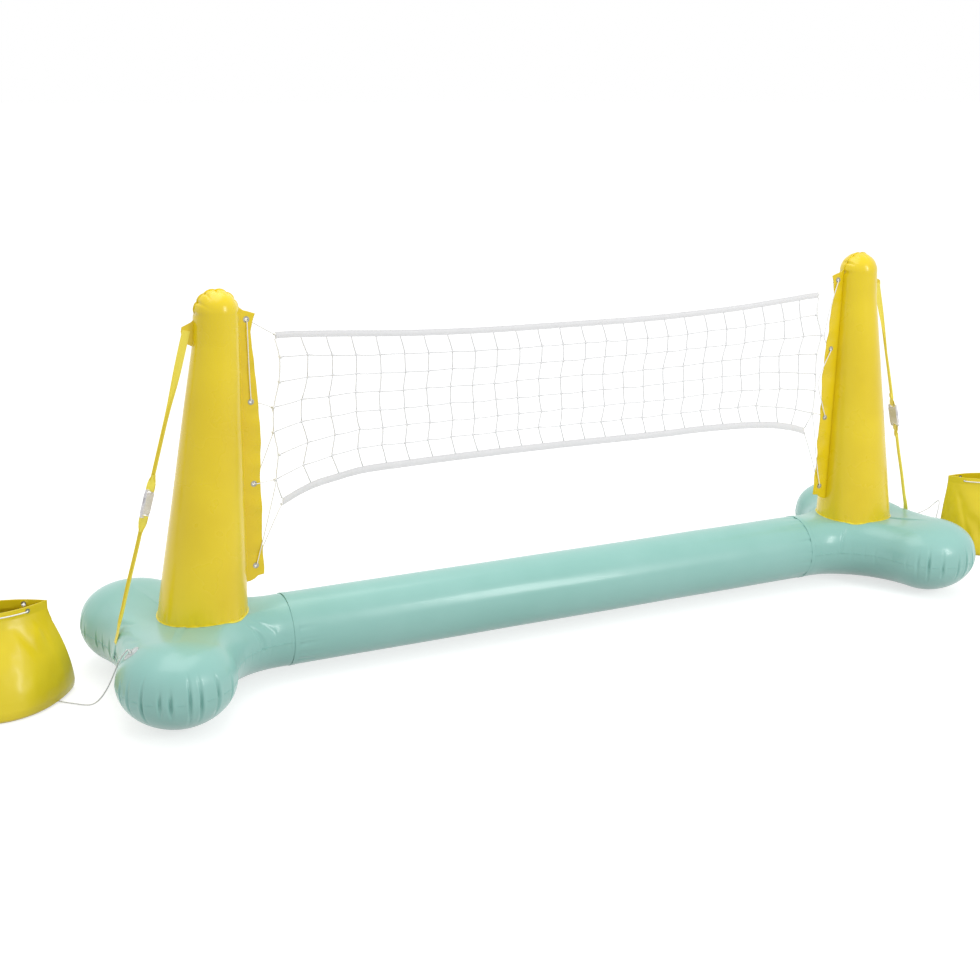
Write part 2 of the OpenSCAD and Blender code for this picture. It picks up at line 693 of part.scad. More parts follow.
module eyelet(sheet_t, bore_r, barrel_r, rim_r, rim_t) {
    rotate_extrude($fn = small_fn)
    polygon([
        [bore_r, -sheet_t / 2 - rim_t], [rim_r, -sheet_t / 2 - rim_t], [rim_r, -sheet_t / 2],
        [barrel_r, -sheet_t / 2], [barrel_r, sheet_t / 2], [rim_r, sheet_t / 2],
        [rim_r, sheet_t / 2 + rim_t], [bore_r, sheet_t / 2 + rim_t]
    ]);
}

module flap_eyelets() {
    color(grey_metal)
    for (i = [0 : len(eyelet_zs) - 1])
        translate([post_side - eyelet_ins[i], 0, eyelet_zs[i]])
        rotate([90, 0, 0])
            eyelet(flap_t, eyelet_bore_r, eyelet_barrel_r, eyelet_rim_r, eyelet_rim_t);
}

ear_top = strap_top_z + 22;
ear_bottom = strap_top_z - 36;

module strap_ear() {
    color(yellow)
    upright(flap_t)
    polygon([
        [post_outer(ear_bottom), ear_bottom], [post_outer(neck_z), neck_z], [post_outer(ear_top), ear_top],
        for (p = [[-10, 17], [10, 8], [12, -2], [8, -22], [-2, -31]]) strap_top + p
    ]);
}

// Puts a shape on the strap's line, s down from its top, with local Z along the strap
module on_strap(s, twist) {
    translate([strap_top[0], strap_y, strap_top[1]])
    rotate([0, strap_tilt, 0])
    translate([0, 0, s])
    rotate([0, 0, twist])
    children();
}

// Flat band along the strap's line from s0 to s1, turning from twist0 to twist1 between t0 and t1
module band(s0, s1, t0, t1, twist0, twist1) {
    steps = ceil((s1 - s0) / strap_step);
    corners = [[-1, -1], [1, -1], [1, 1], [-1, 1]];
    points = [
        for (i = [0 : steps], k = [0 : 3])
            let (
                s = between(s0, s1, i / steps),
                t = between(twist0, twist1, smooth((s - t0) / (t1 - t0))),
                x = corners[k][0] * strap_w / 2,
                y = corners[k][1] * strap_t / 2
            )
            [x * cos(t) - y * sin(t), x * sin(t) + y * cos(t), s]
    ];
    wall = [
        for (i = [0 : steps - 1], k = [0 : 3])
            let (a = i * 4 + k, b = i * 4 + (k + 1) % 4)
            each [[a, a + 4, b + 4], [a, b + 4, b]]
    ];
    last = steps * 4;
    caps = [[0, 1, 2], [0, 2, 3], [last, last + 2, last + 1], [last, last + 3, last + 2]];
    on_strap(0, 0) polyhedron(points = points, faces = concat(wall, caps), convexity = 4);
}

// Loop of the strap, folded double and welded, round a clip's bar; Z runs from the weld to the bar
module bar_loop() {
    half = clip_t / 2 - 1.5 + loop_gap;
    far = clip_bar + 1.2;
    width = strap_w - 0.4;
    rotate([90, 0, 90])
    translate([0, 0, -width / 2])
    linear_extrude(width)
    difference() {
        polygon([
            [-strap_t, -loop_lead], [strap_t, -loop_lead], [half + strap_t, -6], [half + strap_t, far],
            [-half - strap_t, far], [-half - strap_t, -6]
        ]);
        polygon([[0, 2.5 - loop_lead], [half, -6], [half, far - strap_t], [-half, far - strap_t], [-half, -6]]);
    }
}

module strap_upper(twist) {
    loop_at = clip_start - loop_lead;
    color(yellow)
    union() {
        band(0, loop_at + 1, 40, loop_at - 30, 0, twist);
        on_strap(clip_start, twist) bar_loop();
    }
}

module strap_lower(twist) {
    loop_at = clip_end + loop_lead;
    color(yellow)
    union() {
        on_strap(clip_end, twist) rotate([180, 0, 0]) bar_loop();
        band(loop_at - 1, strap_len, loop_at + 20, strap_len - 30, twist, foot_twist);
    }
}

// A bar and its slot at the end of a clip, drawn along Z from the bar
module clip_eye(len) {
    difference() {
        translate([-clip_w / 2, -(clip_t - 3) / 2, 0]) cube([clip_w, clip_t - 3, len]);
        translate([-(strap_w + 1) / 2, -clip_t, clip_bar]) cube([strap_w + 1, 2 * clip_t, clip_slot]);
    }
}

module clip_socket(twist) {
    eye = clip_bar + clip_slot + 2;
    hold = socket_len - eye;
    inner_w = clip_w - 2 * clip_wall;
    inner_t = clip_t - 2 * clip_wall;
    color(clear_white)
    on_strap(clip_start, twist)
    union() {
        clip_eye(eye + 1);
        translate([0, 0, eye])
        difference() {
            translate([-clip_w / 2, -clip_t / 2, 0]) cube([clip_w, clip_t, hold]);
            translate([-inner_w / 2, -inner_t / 2, hold - socket_depth])
                cube([inner_w, inner_t, socket_depth + 1]);
            translate([-clip_w, -inner_t / 2, hold - socket_depth + 4])
                cube([2 * clip_w, inner_t, 12]);
        }
    }
}

module clip_tongue(twist) {
    prong_t = clip_t - 2 * clip_wall - 2 * clip_gap;
    prong_out = clip_w / 2 - clip_wall - clip_gap;
    eye = clip_bar + clip_slot + 2;
    body = tongue_len - eye;
    color(clear_white)
    on_strap(clip_start + socket_len + clip_gap, twist)
    union() {
        translate([-clip_w / 2, -clip_t / 2, 0]) cube([clip_w, clip_t, body]);
        for (side = [-1, 1])
            translate([side * (prong_out - prong_w / 2) - prong_w / 2, -prong_t / 2, -prong_len])
                cube([prong_w, prong_t, prong_len + 1]);
        translate([-1.5, -prong_t / 2, 3 - prong_len]) cube([3, prong_t, prong_len - 2]);
        translate([0, 0, tongue_len]) rotate([180, 0, 0]) clip_eye(eye + 1);
    }
}

module strap_tab() {
    tab_w = 24;
    tab_out = 12;
    color(aqua)
    translate([notch_x + 1, -tab_w / 2, seam_z + seam_t / 2]) cube([tab_out, tab_w, tab_t]);
}

// Round patch that follows the foot's skin beside the notch
function patch_point(rad, i, up) =
    let (
        a = 360 * i / patch_n,
        x = patch_at[0] + patch_size[0] * rad * cos(a),
        y = patch_at[1] + patch_size[1] * rad * sin(a)
    )
    [x, y, foot_top(x, y)] + patch_normal * (patch_lift + up);
module cord_patch() {
    rads = [1, 0.55];
    ring = [for (up = [0, patch_t], rad = rads, i = [0 : patch_n - 1]) patch_point(rad, i, up)];
    mids = [for (up = [0, patch_t]) patch_point(0, 0, up)];
    under = 4 * patch_n;
    over = under + 1;
    color(clear_white)
    polyhedron(
        points = concat(ring, mids),
        faces = [
            for (i = [0 : patch_n - 1])
                let (
                    j = (i + 1) % patch_n,
                    n = patch_n
                )
                each [
                    [i, i + n, j + n], [i, j + n, j], [i + n, under, j + n],
                    [i + 2 * n, j + 3 * n, i + 3 * n], [i + 2 * n, j + 2 * n, j + 3 * n],
                    [i + 3 * n, j + 3 * n, over],
                    [i, j + 2 * n, i + 2 * n], [i, j, j + 2 * n]
                ]
        ],
        convexity = 4
    );
}

// Half ring that stands on the patch
patch_mid = [patch_at[0], patch_at[1], foot_top(patch_at[0], patch_at[1])];
patch_lean = acos(patch_normal[2]);
patch_spin = atan2(patch_normal[1], patch_normal[0]);
module cord_loop() {
    color(clear_white)
    translate(patch_mid + patch_normal * (patch_lift + patch_t))
    rotate([0, 0, patch_spin])
    rotate([0, patch_lean, 0])
    rotate([90, 0, 90])
    rotate_extrude(angle = 180, $fn = 48)
    translate([loop_r, 0]) circle(r = loop_tube, $fn = 24);
}

module net_mesh() {
    gap_list = [for (j = [0 : net_rows - 1], i = [0 : net_cols - 1]) gap(i, j)];
    outline_n = len(net_outline);
    color(white)
    upright(mesh_t)
    polygon(
        points = concat(net_outline, [for (g = gap_list) each g]),
        paths = concat(
            [[for (i = [0 : outline_n - 1]) i]],
            [for (k = [0 : len(gap_list) - 1]) [for (c = [0 : 3]) outline_n + 4 * k + c]]
        )
    );
}

module top_tape() {
    color(white)
    upright(tape_t)
    polygon(concat(top_edge, backward(under_tape)));
}

module bottom_tape() {
    color(white)
    upright(tape_t)
    polygon(concat(bottom_edge, backward(lowered(bottom_edge, bottom_tape_w))));
}

// Cord along the net's end, just outside its last column of knots
module side_cord(line, out) {
    count = len(line);
    color(white)
    upright(mesh_t + 1)
    polygon(concat(
        [for (i = [0 : count - 1]) line[i]],
        [for (i = [count - 1 : -1 : 0]) line[i] + [out * side_cord_w, 0]]
    ));
}

module lacing(path) {
    color(white)
    sweep_tube(softened(path), lace_r, lace_sides);
}

module valve() {
    flange_t = 1.2;
    color(clear_white)
    difference() {
        union() {
            cylinder(r = valve_flange_r, h = flange_t, $fn = 48);
            cylinder(r = valve_stem_r, h = valve_stem_len, $fn = 48);
        }
        translate([0, 0, 1.2]) cylinder(r = valve_bore_r, h = valve_stem_len, $fn = 48);
    }
}

module plug() {
    pin_len = valve_stem_len - 2.5;
    cap_t = 2;
    grip = [10, 5, 1.6];
    color(clear_white)
    translate([0, 0, valve_stem_len])
    union() {
        translate([0, 0, -pin_len]) cylinder(r = valve_bore_r - plug_gap, h = pin_len + 1, $fn = 48);
        cylinder(r = valve_stem_r + 1, h = cap_t, $fn = 48);
        translate([valve_stem_r - 1, -grip[1] / 2, 0]) cube([grip[0], grip[1], grip[2]]);
    }
}

module at_base_valve() {
    translate([base_valve_x, beam_r, seam_z])
    rotate([-90, 0, 0])
    children();
}

module at_post_valve() {
    translate([post_x(post_valve_z), post_r(post_valve_z), post_valve_z])
    rotate([post_lean - 90, 0, 0])
    children();
}

module bag(at, turn, foot, mouth) {
    inner_foot = [for (i = [bag_sides - 1 : -1 : 0]) bag_n + i];
    outer_foot = [for (i = [0 : bag_sides - 1]) i];
    color(yellow)
    translate([at[0], at[1], 0])
    rotate([0, 0, turn])
    difference() {
        polyhedron(
            points = concat(bag_points(foot, mouth, 0), bag_points(foot, mouth, bag_t)),
            faces = concat(bag_skin(0, true), bag_skin(bag_n, false), bag_rim, [outer_foot, inner_foot]),
            convexity = 6
        );
        for (i = bag_eyelet_sides)
            at_bag_side(mouth, i)
                cylinder(r = bag_eyelet_barrel, h = 8, center = true, $fn = small_fn);
    }
}

// Frame in the middle of a mouth's side, local Z out through the sheet
module at_bag_side(mouth, i) {
    p = bag_side_mid(mouth, i);
    translate([p[0], p[1], bag_eyelet_z])
    rotate([0, 0, bag_side_turn(mouth, i)])
    rotate([0, 90, 0])
    children();
}

module bag_eyelets(at, turn, mouth) {
    color(grey_metal)
    translate([at[0], at[1], 0])
    rotate([0, 0, turn])
    for (i = bag_eyelet_sides)
        at_bag_side(mouth, i)
        translate([0, 0, -bag_t / 2])
            eyelet(bag_t, bag_eyelet_bore, bag_eyelet_barrel, bag_eyelet_r, bag_eyelet_t);
}

// Drawcord: out through one eyelet, along the outside, in through the next, across the mouth
function bag_port(mouth, i, out) =
    let (p = bag_side_mid(mouth, i), a = bag_side_turn(mouth, i))
    [p[0] + out * cos(a), p[1] + out * sin(a), bag_eyelet_z];
function bag_outside(mouth, i0, i1, out) =
    [for (i = [i0 : i1]) let (p = bag_port(mouth, i, out)) p];
module drawcord(at, turn, mouth) {
    out = 5;
    in = -6;
    s = bag_eyelet_sides;
    drop = [0, 0, 2];
    back_run = bag_outside(mouth, s[0], s[1], out);
    front_run = bag_outside(mouth, s[2], s[3], out);
    path = concat(
        [bag_port(mouth, s[0], in) + [0, -6, 0], bag_port(mouth, s[0], in)],
        [for (p = back_run) p],
        [bag_port(mouth, s[1], in), bag_port(mouth, s[2], in) - drop],
        [for (p = front_run) p - drop * 0.0],
        [bag_port(mouth, s[3], in), bag_port(mouth, s[3], in) + [0, 6, 0]]
    );
    color(white)
    translate([at[0], at[1], 0])
    rotate([0, 0, turn])
    sweep_tube(softened(path), drawcord_r, cord_sides);
}

module anchor_cord(path) {
    color(white)
    sweep_tube(softened(path), anchor_r, cord_sides);
}

module left() {
    mirror([1, 0, 0]) children();
}

beam_tube();
left() foot();  // foot_left
foot();  // foot_right
left() foot_seam();  // foot_seam_left
foot_seam();  // foot_seam_right
left() cuff();  // cuff_left
cuff();  // cuff_right
left() post();  // post_left
post();  // post_right
left() post_weld();  // post_weld_left
post_weld();  // post_weld_right
left() crown_seam();  // crown_seam_left
crown_seam();  // crown_seam_right
left() net_flap();  // net_flap_left
net_flap();  // net_flap_right
left() strap_ear();  // strap_ear_left
strap_ear();  // strap_ear_right
left() flap_eyelets();  // flap_eyelets_left
flap_eyelets();  // flap_eyelets_right
left() strap_upper(clip_twist_left);  // strap_upper_left
strap_upper(clip_twist_right);  // strap_upper_right
left() clip_socket(clip_twist_left);  // clip_socket_left
clip_socket(clip_twist_right);  // clip_socket_right
left() clip_tongue(clip_twist_left);  // clip_tongue_left
clip_tongue(clip_twist_right);  // clip_tongue_right
left() strap_lower(clip_twist_left);  // strap_lower_left
strap_lower(clip_twist_right);  // strap_lower_right
left() strap_tab();  // strap_tab_left
strap_tab();  // strap_tab_right
rotate([0, 0, 180]) cord_patch();  // cord_patch_left
cord_patch();  // cord_patch_right
rotate([0, 0, 180]) cord_loop();  // cord_loop_left
cord_loop();  // cord_loop_right
net_mesh();
top_tape();
bottom_tape();
side_cord(left_edge, -1);  // side_cord_left
side_cord(right_edge, 1);  // side_cord_right
lacing(lace_left);  // lacing_left
lacing(lace_right);  // lacing_right
at_base_valve() valve();  // valve_base
left() at_post_valve() valve();  // valve_post_left
at_post_valve() valve();  // valve_post_right
at_base_valve() plug();  // plug_base
left() at_post_valve() plug();  // plug_post_left
at_post_valve() plug();  // plug_post_right
bag(bag_left_at, bag_left_turn, bag_left_foot, bag_left_mouth);  // bag_left
bag(bag_right_at, bag_right_turn, bag_right_foot, bag_right_mouth);  // bag_right
bag_eyelets(bag_left_at, bag_left_turn, bag_left_mouth);  // bag_eyelets_left
bag_eyelets(bag_right_at, bag_right_turn, bag_right_mouth);  // bag_eyelets_right
drawcord(bag_left_at, bag_left_turn, bag_left_mouth);  // drawcord_left
drawcord(bag_right_at, bag_right_turn, bag_right_mouth);  // drawcord_right
anchor_cord(anchor_left);  // anchor_cord_left
anchor_cord(anchor_right);  // anchor_cord_right
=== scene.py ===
import random
from math import atan2, copysign, cos, dist, exp, hypot, pi, radians, sin, sqrt

import bpy
import numpy as np
from mathutils import Matrix, Vector, noise


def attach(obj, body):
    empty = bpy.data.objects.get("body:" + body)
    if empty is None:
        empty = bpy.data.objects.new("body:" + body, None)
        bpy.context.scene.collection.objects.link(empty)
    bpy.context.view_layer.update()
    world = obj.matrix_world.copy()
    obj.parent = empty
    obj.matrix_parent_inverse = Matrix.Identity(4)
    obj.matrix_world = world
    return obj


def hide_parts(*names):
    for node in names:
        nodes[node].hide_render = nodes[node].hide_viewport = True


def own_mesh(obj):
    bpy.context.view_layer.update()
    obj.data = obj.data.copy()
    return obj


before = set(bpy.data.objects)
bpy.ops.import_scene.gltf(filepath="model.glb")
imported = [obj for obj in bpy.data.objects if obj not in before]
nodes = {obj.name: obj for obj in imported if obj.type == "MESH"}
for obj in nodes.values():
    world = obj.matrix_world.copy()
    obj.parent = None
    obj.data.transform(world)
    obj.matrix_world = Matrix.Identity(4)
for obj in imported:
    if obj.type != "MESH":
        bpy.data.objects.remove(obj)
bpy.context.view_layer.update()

ends = ("left", "right")
print("frame loaded:", len(nodes), "nodes")

camera = {
    "place": (-1.7471, -3.0943, 1.4404),
    "lookAt": (-0.2124, 0.0, 0.4941),
    "roll": 1.04,
    "lens": 54.04,
    "sensor": 36.0,
    "shiftY": -0.0458,
    "farthest": 60.0,
}


def addCamera(c):
    data = bpy.data.cameras.new("camera")
    data.lens = c["lens"]
    data.sensor_width = c["sensor"]
    data.sensor_fit = "HORIZONTAL"
    data.shift_y = c["shiftY"]
    data.clip_end = c["farthest"]
    eye = bpy.data.objects.new("camera", data)
    bpy.context.scene.collection.objects.link(eye)
    ahead = (Vector(c["lookAt"]) - Vector(c["place"])).normalized()
    right = ahead.cross(Vector((0, 0, 1))).normalized()
    up = right.cross(ahead)
    turn = radians(c["roll"])
    side = cos(turn) * right + sin(turn) * up
    top = cos(turn) * up - sin(turn) * right
    spin = Matrix((side, top, -ahead)).transposed().to_4x4()
    eye.matrix_world = Matrix.Translation(Vector(c["place"])) @ spin
    bpy.context.scene.camera = eye


addCamera(camera)


def sideOf(end):
    return -1 if end == "left" else 1


def bell(q):
    return exp(-q * q)


def bells(q):
    return np.exp(-q * q)


def wrapped(angle):
    # brought to within half a turn
    return (angle + pi) % (2 * pi) - pi


def deselectAll():
    if bpy.context.object and bpy.context.object.mode != "OBJECT":
        bpy.ops.object.mode_set(mode="OBJECT")
    bpy.ops.object.select_all(action="DESELECT")


def pick(piece):
    deselectAll()
    piece.select_set(True)
    bpy.context.view_layer.objects.active = piece


def meshPiece(name, points, faces, material, uvs=None, sharp=None):
    # points and faces become a smooth-shaded piece; uvs is one pair for each corner
    mesh = bpy.data.meshes.new(name)
    mesh.from_pydata([tuple(p) for p in points], [], faces)
    mesh.update()
    piece = bpy.data.objects.new(name, mesh)
    bpy.context.scene.collection.objects.link(piece)
    mesh.materials.append(material)
    if uvs is not None:
        layer = mesh.uv_layers.new(name="along")
        layer.data.foreach_set("uv", np.asarray(uvs, np.float32).ravel())
    pick(piece)
    if sharp is None:
        bpy.ops.object.shade_smooth()
    else:
        bpy.ops.object.shade_smooth_by_angle(angle=radians(sharp))
    fixNormals(piece)
    return piece


def applyModifier(piece, kind, name, **settings):
    pick(piece)
    modifier = piece.modifiers.new(name, kind)
    for key, value in settings.items():
        setattr(modifier, key, value)
    bpy.ops.object.modifier_apply(modifier=modifier.name)


def fixNormals(piece):
    pick(piece)
    bpy.ops.object.mode_set(mode="EDIT")
    bpy.ops.mesh.select_all(action="SELECT")
    bpy.ops.mesh.normals_make_consistent(inside=False)
    bpy.ops.object.mode_set(mode="OBJECT")


def closeSkin(piece, gap):
    # joins doubled points, fills the open end and turns the faces outward
    pick(piece)
    bpy.ops.object.mode_set(mode="EDIT")
    bpy.ops.mesh.select_all(action="SELECT")
    bpy.ops.mesh.remove_doubles(threshold=gap)
    bpy.ops.mesh.select_all(action="DESELECT")
    bpy.ops.mesh.select_mode(type="EDGE")
    bpy.ops.mesh.select_non_manifold(extend=False)
    bpy.ops.mesh.fill_holes(sides=0)
    fixNormals(piece)


def filmPiece(name, points, faces, material, thick, offset=0.0):
    # an open sheet given its thickness: offset 1 puts it outside the points, -1 inside
    piece = meshPiece(name, points, faces, material)
    applyModifier(piece, "SOLIDIFY", "film", thickness=thick, offset=offset)
    fixNormals(piece)
    return piece


def bandFaces(rows, around, closed=True):
    # quads between rows that hold the same count of points
    faces = []
    for j in range(rows - 1):
        for i in range(around if closed else around - 1):
            a, b = j * around + i, j * around + (i + 1) % around
            faces.append((a, b, b + around, a + around))
    return faces


def tubeFaces(runs, across, capAt):
    # a capped tube; runs says how far along each row lies, across how far round each point does
    around = len(across) - 1
    faces = bandFaces(len(runs), around)
    uvs = [uv for u0, u1 in zip(runs, runs[1:]) for v0, v1 in zip(across, across[1:])
           for uv in ((u0, v0), (u0, v1), (u1, v1), (u1, v0))]
    for row, order in ((0, -1), (len(runs) - 1, 1)):
        faces.append(tuple(range(row * around, (row + 1) * around))[::order])
        uvs += [(runs[row], capAt)] * around
    return faces, uvs


def joinShapes(shapes):
    points, faces, uvs = [], [], []
    for p, f, u in shapes:
        faces += [tuple(i + len(points) for i in face) for face in f]
        points += p
        uvs += u
    return points, faces, uvs


def settle(piece, body, slot, *replaced):
    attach(piece, body)
    if replaced:
        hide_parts(*replaced)
    return piece


def softRoute(points, rounds=2):
    # corners cut by a quarter, as the solid cord has them, then rounded again
    path = [Vector(p) for p in points]
    for _ in range(rounds):
        cut = [path[0]]
        for i in range(1, len(path) - 1):
            cut.append(path[i].lerp(path[i - 1], 0.25))
            cut.append(path[i].lerp(path[i + 1], 0.25))
        cut.append(path[-1])
        path = cut
    return path


def ease(s):
    s = min(1.0, max(0.0, s))
    return s * s * (3 - 2 * s)


def pathLength(path):
    return sum((b - a).length for a, b in zip(path, path[1:]))


def sweep(path, ring):
    # rings carried along a path; ring is a list of (side, up) offsets; gives points, faces, uvs
    steps = [(b - a).normalized() for a, b in zip(path, path[1:])]
    ahead = [(a + b).normalized() for a, b in zip(steps[:1] + steps, steps + steps[-1:])]
    start = Vector((0, 1, 0)) if abs(ahead[0].y) < 0.9 else Vector((0, 0, 1))
    side = ahead[0].cross(start).normalized()
    points, runs = [], [0.0]
    for i, at in enumerate(path):
        if i:
            runs.append(runs[-1] + (at - path[i - 1]).length)
            side = (side - ahead[i] * side.dot(ahead[i])).normalized()
        up = ahead[i].cross(side)
        points += [at + side * s + up * u for s, u in ring]
    return (points, *tubeFaces(runs, [k / len(ring) for k in range(len(ring) + 1)], 0.5))


def roundRing(radius, sides):
    turns = [2 * pi * k / sides for k in range(sides)]
    return [(radius * cos(a), radius * sin(a)) for a in turns]


def rope(name, route, radius, material, sides=10, rounds=3, knots=()):
    path = softRoute(route, rounds)
    lumps = [knotShape(Vector(at), size) for at, size in knots]
    points, faces, uvs = joinShapes([sweep(path, roundRing(radius, sides))] + lumps)
    return meshPiece(name, points, faces, material, uvs), path


def knotShape(at, size):
    # a small overhand knot: three lumps of cord pulled into one another
    loop = []
    for i in range(25):
        t = 2 * pi * i / 24
        loop.append(at + size * Vector((
            0.55 * (sin(t) + 1.1 * sin(2 * t)),
            0.55 * (cos(t) - 1.1 * cos(2 * t)),
            -0.55 * sin(3 * t),
        )))
    return sweep(loop, roundRing(size * 0.62, 8))


def newMaterial(name):
    material = bpy.data.materials.new(name)
    material.use_nodes = True
    tree = material.node_tree
    return material, tree, tree.nodes["Principled BSDF"]


def setValues(node, values):
    for key, value in values.items():
        if key in node.inputs:
            node.inputs[key].default_value = value
        else:
            setattr(node, key, value)


def addNode(tree, kind, feeds=None, **values):
    # feeds names the inputs that other sockets drive, values the ones that are set
    node = tree.nodes.new("ShaderNode" + kind)
    setValues(node, values)
    for key, socket in (feeds or {}).items():
        tree.links.new(socket, node.inputs[key])
    return node


def compute(tree, operation, *terms):
    # a math node on sockets or plain numbers
    node = addNode(tree, "Math", operation=operation)
    for slot, term in zip(node.inputs, terms):
        if isinstance(term, (int, float)):
            slot.default_value = term
        else:
            tree.links.new(term, slot)
    return node.outputs[0]


def noiseOf(tree, coords, scale, detail, rough=0.5):
    cloud = addNode(tree, "TexNoise", {"Vector": coords}, Scale=scale, Detail=detail, Roughness=rough)
    return cloud.outputs["Fac"]


def ownCoords(tree):
    return addNode(tree, "TexCoord").outputs["Object"]


def uvParts(tree):
    uv = addNode(tree, "UVMap", uv_map="along")
    split = addNode(tree, "SeparateXYZ", {"Vector": uv.outputs["UV"]})
    return split.outputs["X"], split.outputs["Y"]


def tintBy(tree, source, shader, dark, light, low=0.0, high=1.0):
    ramp = addNode(tree, "ValToRGB", {"Fac": source})
    for element, at, tone in zip(ramp.color_ramp.elements, (low, high), (dark, light)):
        element.position = at
        element.color = (*tone, 1)
    tree.links.new(ramp.outputs["Color"], shader.inputs["Base Color"])
    return ramp.outputs["Color"]


def roughBy(tree, source, shader, limits):
    spread = addNode(tree, "MapRange", {"Value": source}, **{"To Min": limits[0], "To Max": limits[1]})
    tree.links.new(spread.outputs["Result"], shader.inputs["Roughness"])


def bumpBy(tree, source, shader, strength, distance, under=None):
    bump = addNode(tree, "Bump", {"Height": source}, Strength=strength, Distance=distance)
    if under:
        tree.links.new(under, bump.inputs["Normal"])
    tree.links.new(bump.outputs["Normal"], shader.inputs["Normal"])
    return bump.outputs["Normal"]


def tintByNoise(tree, coords, shader, dark, light, scale):
    return tintBy(tree, noiseOf(tree, coords, scale, 3.0, 0.55), shader, dark, light, 0.3, 0.72)


def vinyl(name, dark, light, rough, coat, wave):
    # welded film: slow waves in the skin and a faint grain under the gloss
    material, tree, shader = newMaterial(name)
    coords = ownCoords(tree)
    tintByNoise(tree, coords, shader, dark, light, 5.0)
    roughBy(tree, noiseOf(tree, coords, 11.0, 3.0), shader, rough)
    slow = bumpBy(tree, noiseOf(tree, coords, 13.0, 2.0, 0.4), shader, wave, 0.004)
    bumpBy(tree, noiseOf(tree, coords, 420.0, 2.0, 0.6), shader, 0.10, 0.0004, slow)
    setValues(shader, {"IOR": 1.48, "Coat Weight": coat, "Coat Roughness": 0.12})
    return material


def cordStuff(name, dark, light, pitch, depth, strands=3):
    # laid cord: slanting strands along the piece's own length; the tone is darker in the grooves between
    # strands, which is painted shade
    material, tree, shader = newMaterial(name)
    along, around = uvParts(tree)
    slant = compute(tree, "MULTIPLY_ADD", around, 2 * pi * strands,
                    compute(tree, "MULTIPLY", along, 2 * pi / pitch))
    lift = compute(tree, "MULTIPLY_ADD", compute(tree, "SINE", slant), 0.5, 0.5)
    tintBy(tree, lift, shader, dark, light, high=0.45)
    bumpBy(tree, lift, shader, 0.7, depth)
    setValues(shader, {"Roughness": 0.72, "Sheen Weight": 0.15})
    return material


def wovenStuff(name, dark, light, pitch, rough, through=0.0):
    # plain weave on the piece's own uv, in metres; the tone is darker in the weave's dips, which is painted
    # shade; through is the strength of a glow in that tone, painted light standing in for the light a thin
    # band lets pass
    material, tree, shader = newMaterial(name)
    waves = [compute(tree, "SINE", compute(tree, "MULTIPLY", part, 2 * pi / step))
             for part, step in zip(uvParts(tree), pitch)]
    lift = compute(tree, "MULTIPLY_ADD", compute(tree, "MULTIPLY", *waves), 0.5, 0.5)
    tone = tintBy(tree, lift, shader, dark, light)
    bumpBy(tree, lift, shader, 0.6, 0.0004)
    # painted light: the band glows in its own tone at strength through
    tree.links.new(tone, shader.inputs["Emission Color"])
    setValues(shader, {"Roughness": rough, "Sheen Weight": 0.1, "Emission Strength": through})
    return material


def clearPlastic(name, dark, light, rough, see):
    material, tree, shader = newMaterial(name)
    coords = ownCoords(tree)
    tintByNoise(tree, coords, shader, dark, light, 60.0)
    haze = noiseOf(tree, coords, 220.0, 2.0)
    roughBy(tree, haze, shader, rough)
    bumpBy(tree, haze, shader, 0.12, 0.0003)
    setValues(shader, {"Transmission Weight": see, "IOR": 1.45})
    return material


def eyeletMetal(name, dark, light, rough):
    material, tree, shader = newMaterial(name)
    coords = ownCoords(tree)
    tintByNoise(tree, coords, shader, dark, light, 240.0)
    roughBy(tree, noiseOf(tree, coords, 900.0, 2.0), shader, rough)
    setValues(shader, {"Metallic": 0.85})
    return material


aquaVinyl = vinyl("aquaVinyl", (0.25, 0.51, 0.455), (0.29, 0.55, 0.50), (0.26, 0.36), 0.25, 0.25)
yellowVinyl = vinyl("yellowVinyl", (0.76, 0.56, 0.004), (0.84, 0.64, 0.008), (0.22, 0.34), 0.15, 0.35)
# the weld's yellow is painted paler than the post's to cancel the shade and orange bounce light at the post's
# foot
weldVinylPaintedLight = vinyl("weldVinylPaintedLight", (0.80, 0.70, 0.04), (0.84, 0.74, 0.06), (0.24, 0.36), 0.15, 0.2)
bagVinyl = vinyl("bagVinyl", (0.74, 0.58, 0.008), (0.82, 0.66, 0.014), (0.26, 0.40), 0.12, 1.0)
whiteCord = cordStuff("whiteCord", (0.83, 0.83, 0.82), (0.95, 0.95, 0.94), 0.006, 0.0003)
anchorCord = cordStuff("anchorCord", (0.60, 0.60, 0.60), (0.78, 0.78, 0.78), 0.006, 0.0004)
netThread = cordStuff("netThread", (0.76, 0.76, 0.77), (0.88, 0.88, 0.89), 0.005, 0.0002)
tapeCloth = wovenStuff("tapeCloth", (0.78, 0.78, 0.79), (0.92, 0.92, 0.93), (0.0022, 0.0022), 0.8)
# the strap's glow of 0.09 is painted light that brightens its shaded faces
strapWeb = wovenStuff("strapWeb", (0.78, 0.63, 0.035), (0.90, 0.80, 0.13), (0.0024, 0.0012), 0.5, 0.09)
clearVinyl = clearPlastic("clearVinyl", (0.62, 0.70, 0.70), (0.80, 0.86, 0.86), (0.12, 0.30), 0.35)
clipPlastic = clearPlastic("clipPlastic", (0.84, 0.82, 0.85), (0.94, 0.93, 0.95), (0.18, 0.32), 0.25)
# the eyelets' dark olive tone is partly their dull metal and partly painted shade with a painted yellow
# reflection
grommet = eyeletMetal("grommet", (0.26, 0.25, 0.20), (0.46, 0.45, 0.39), (0.25, 0.42))
print("materials made")

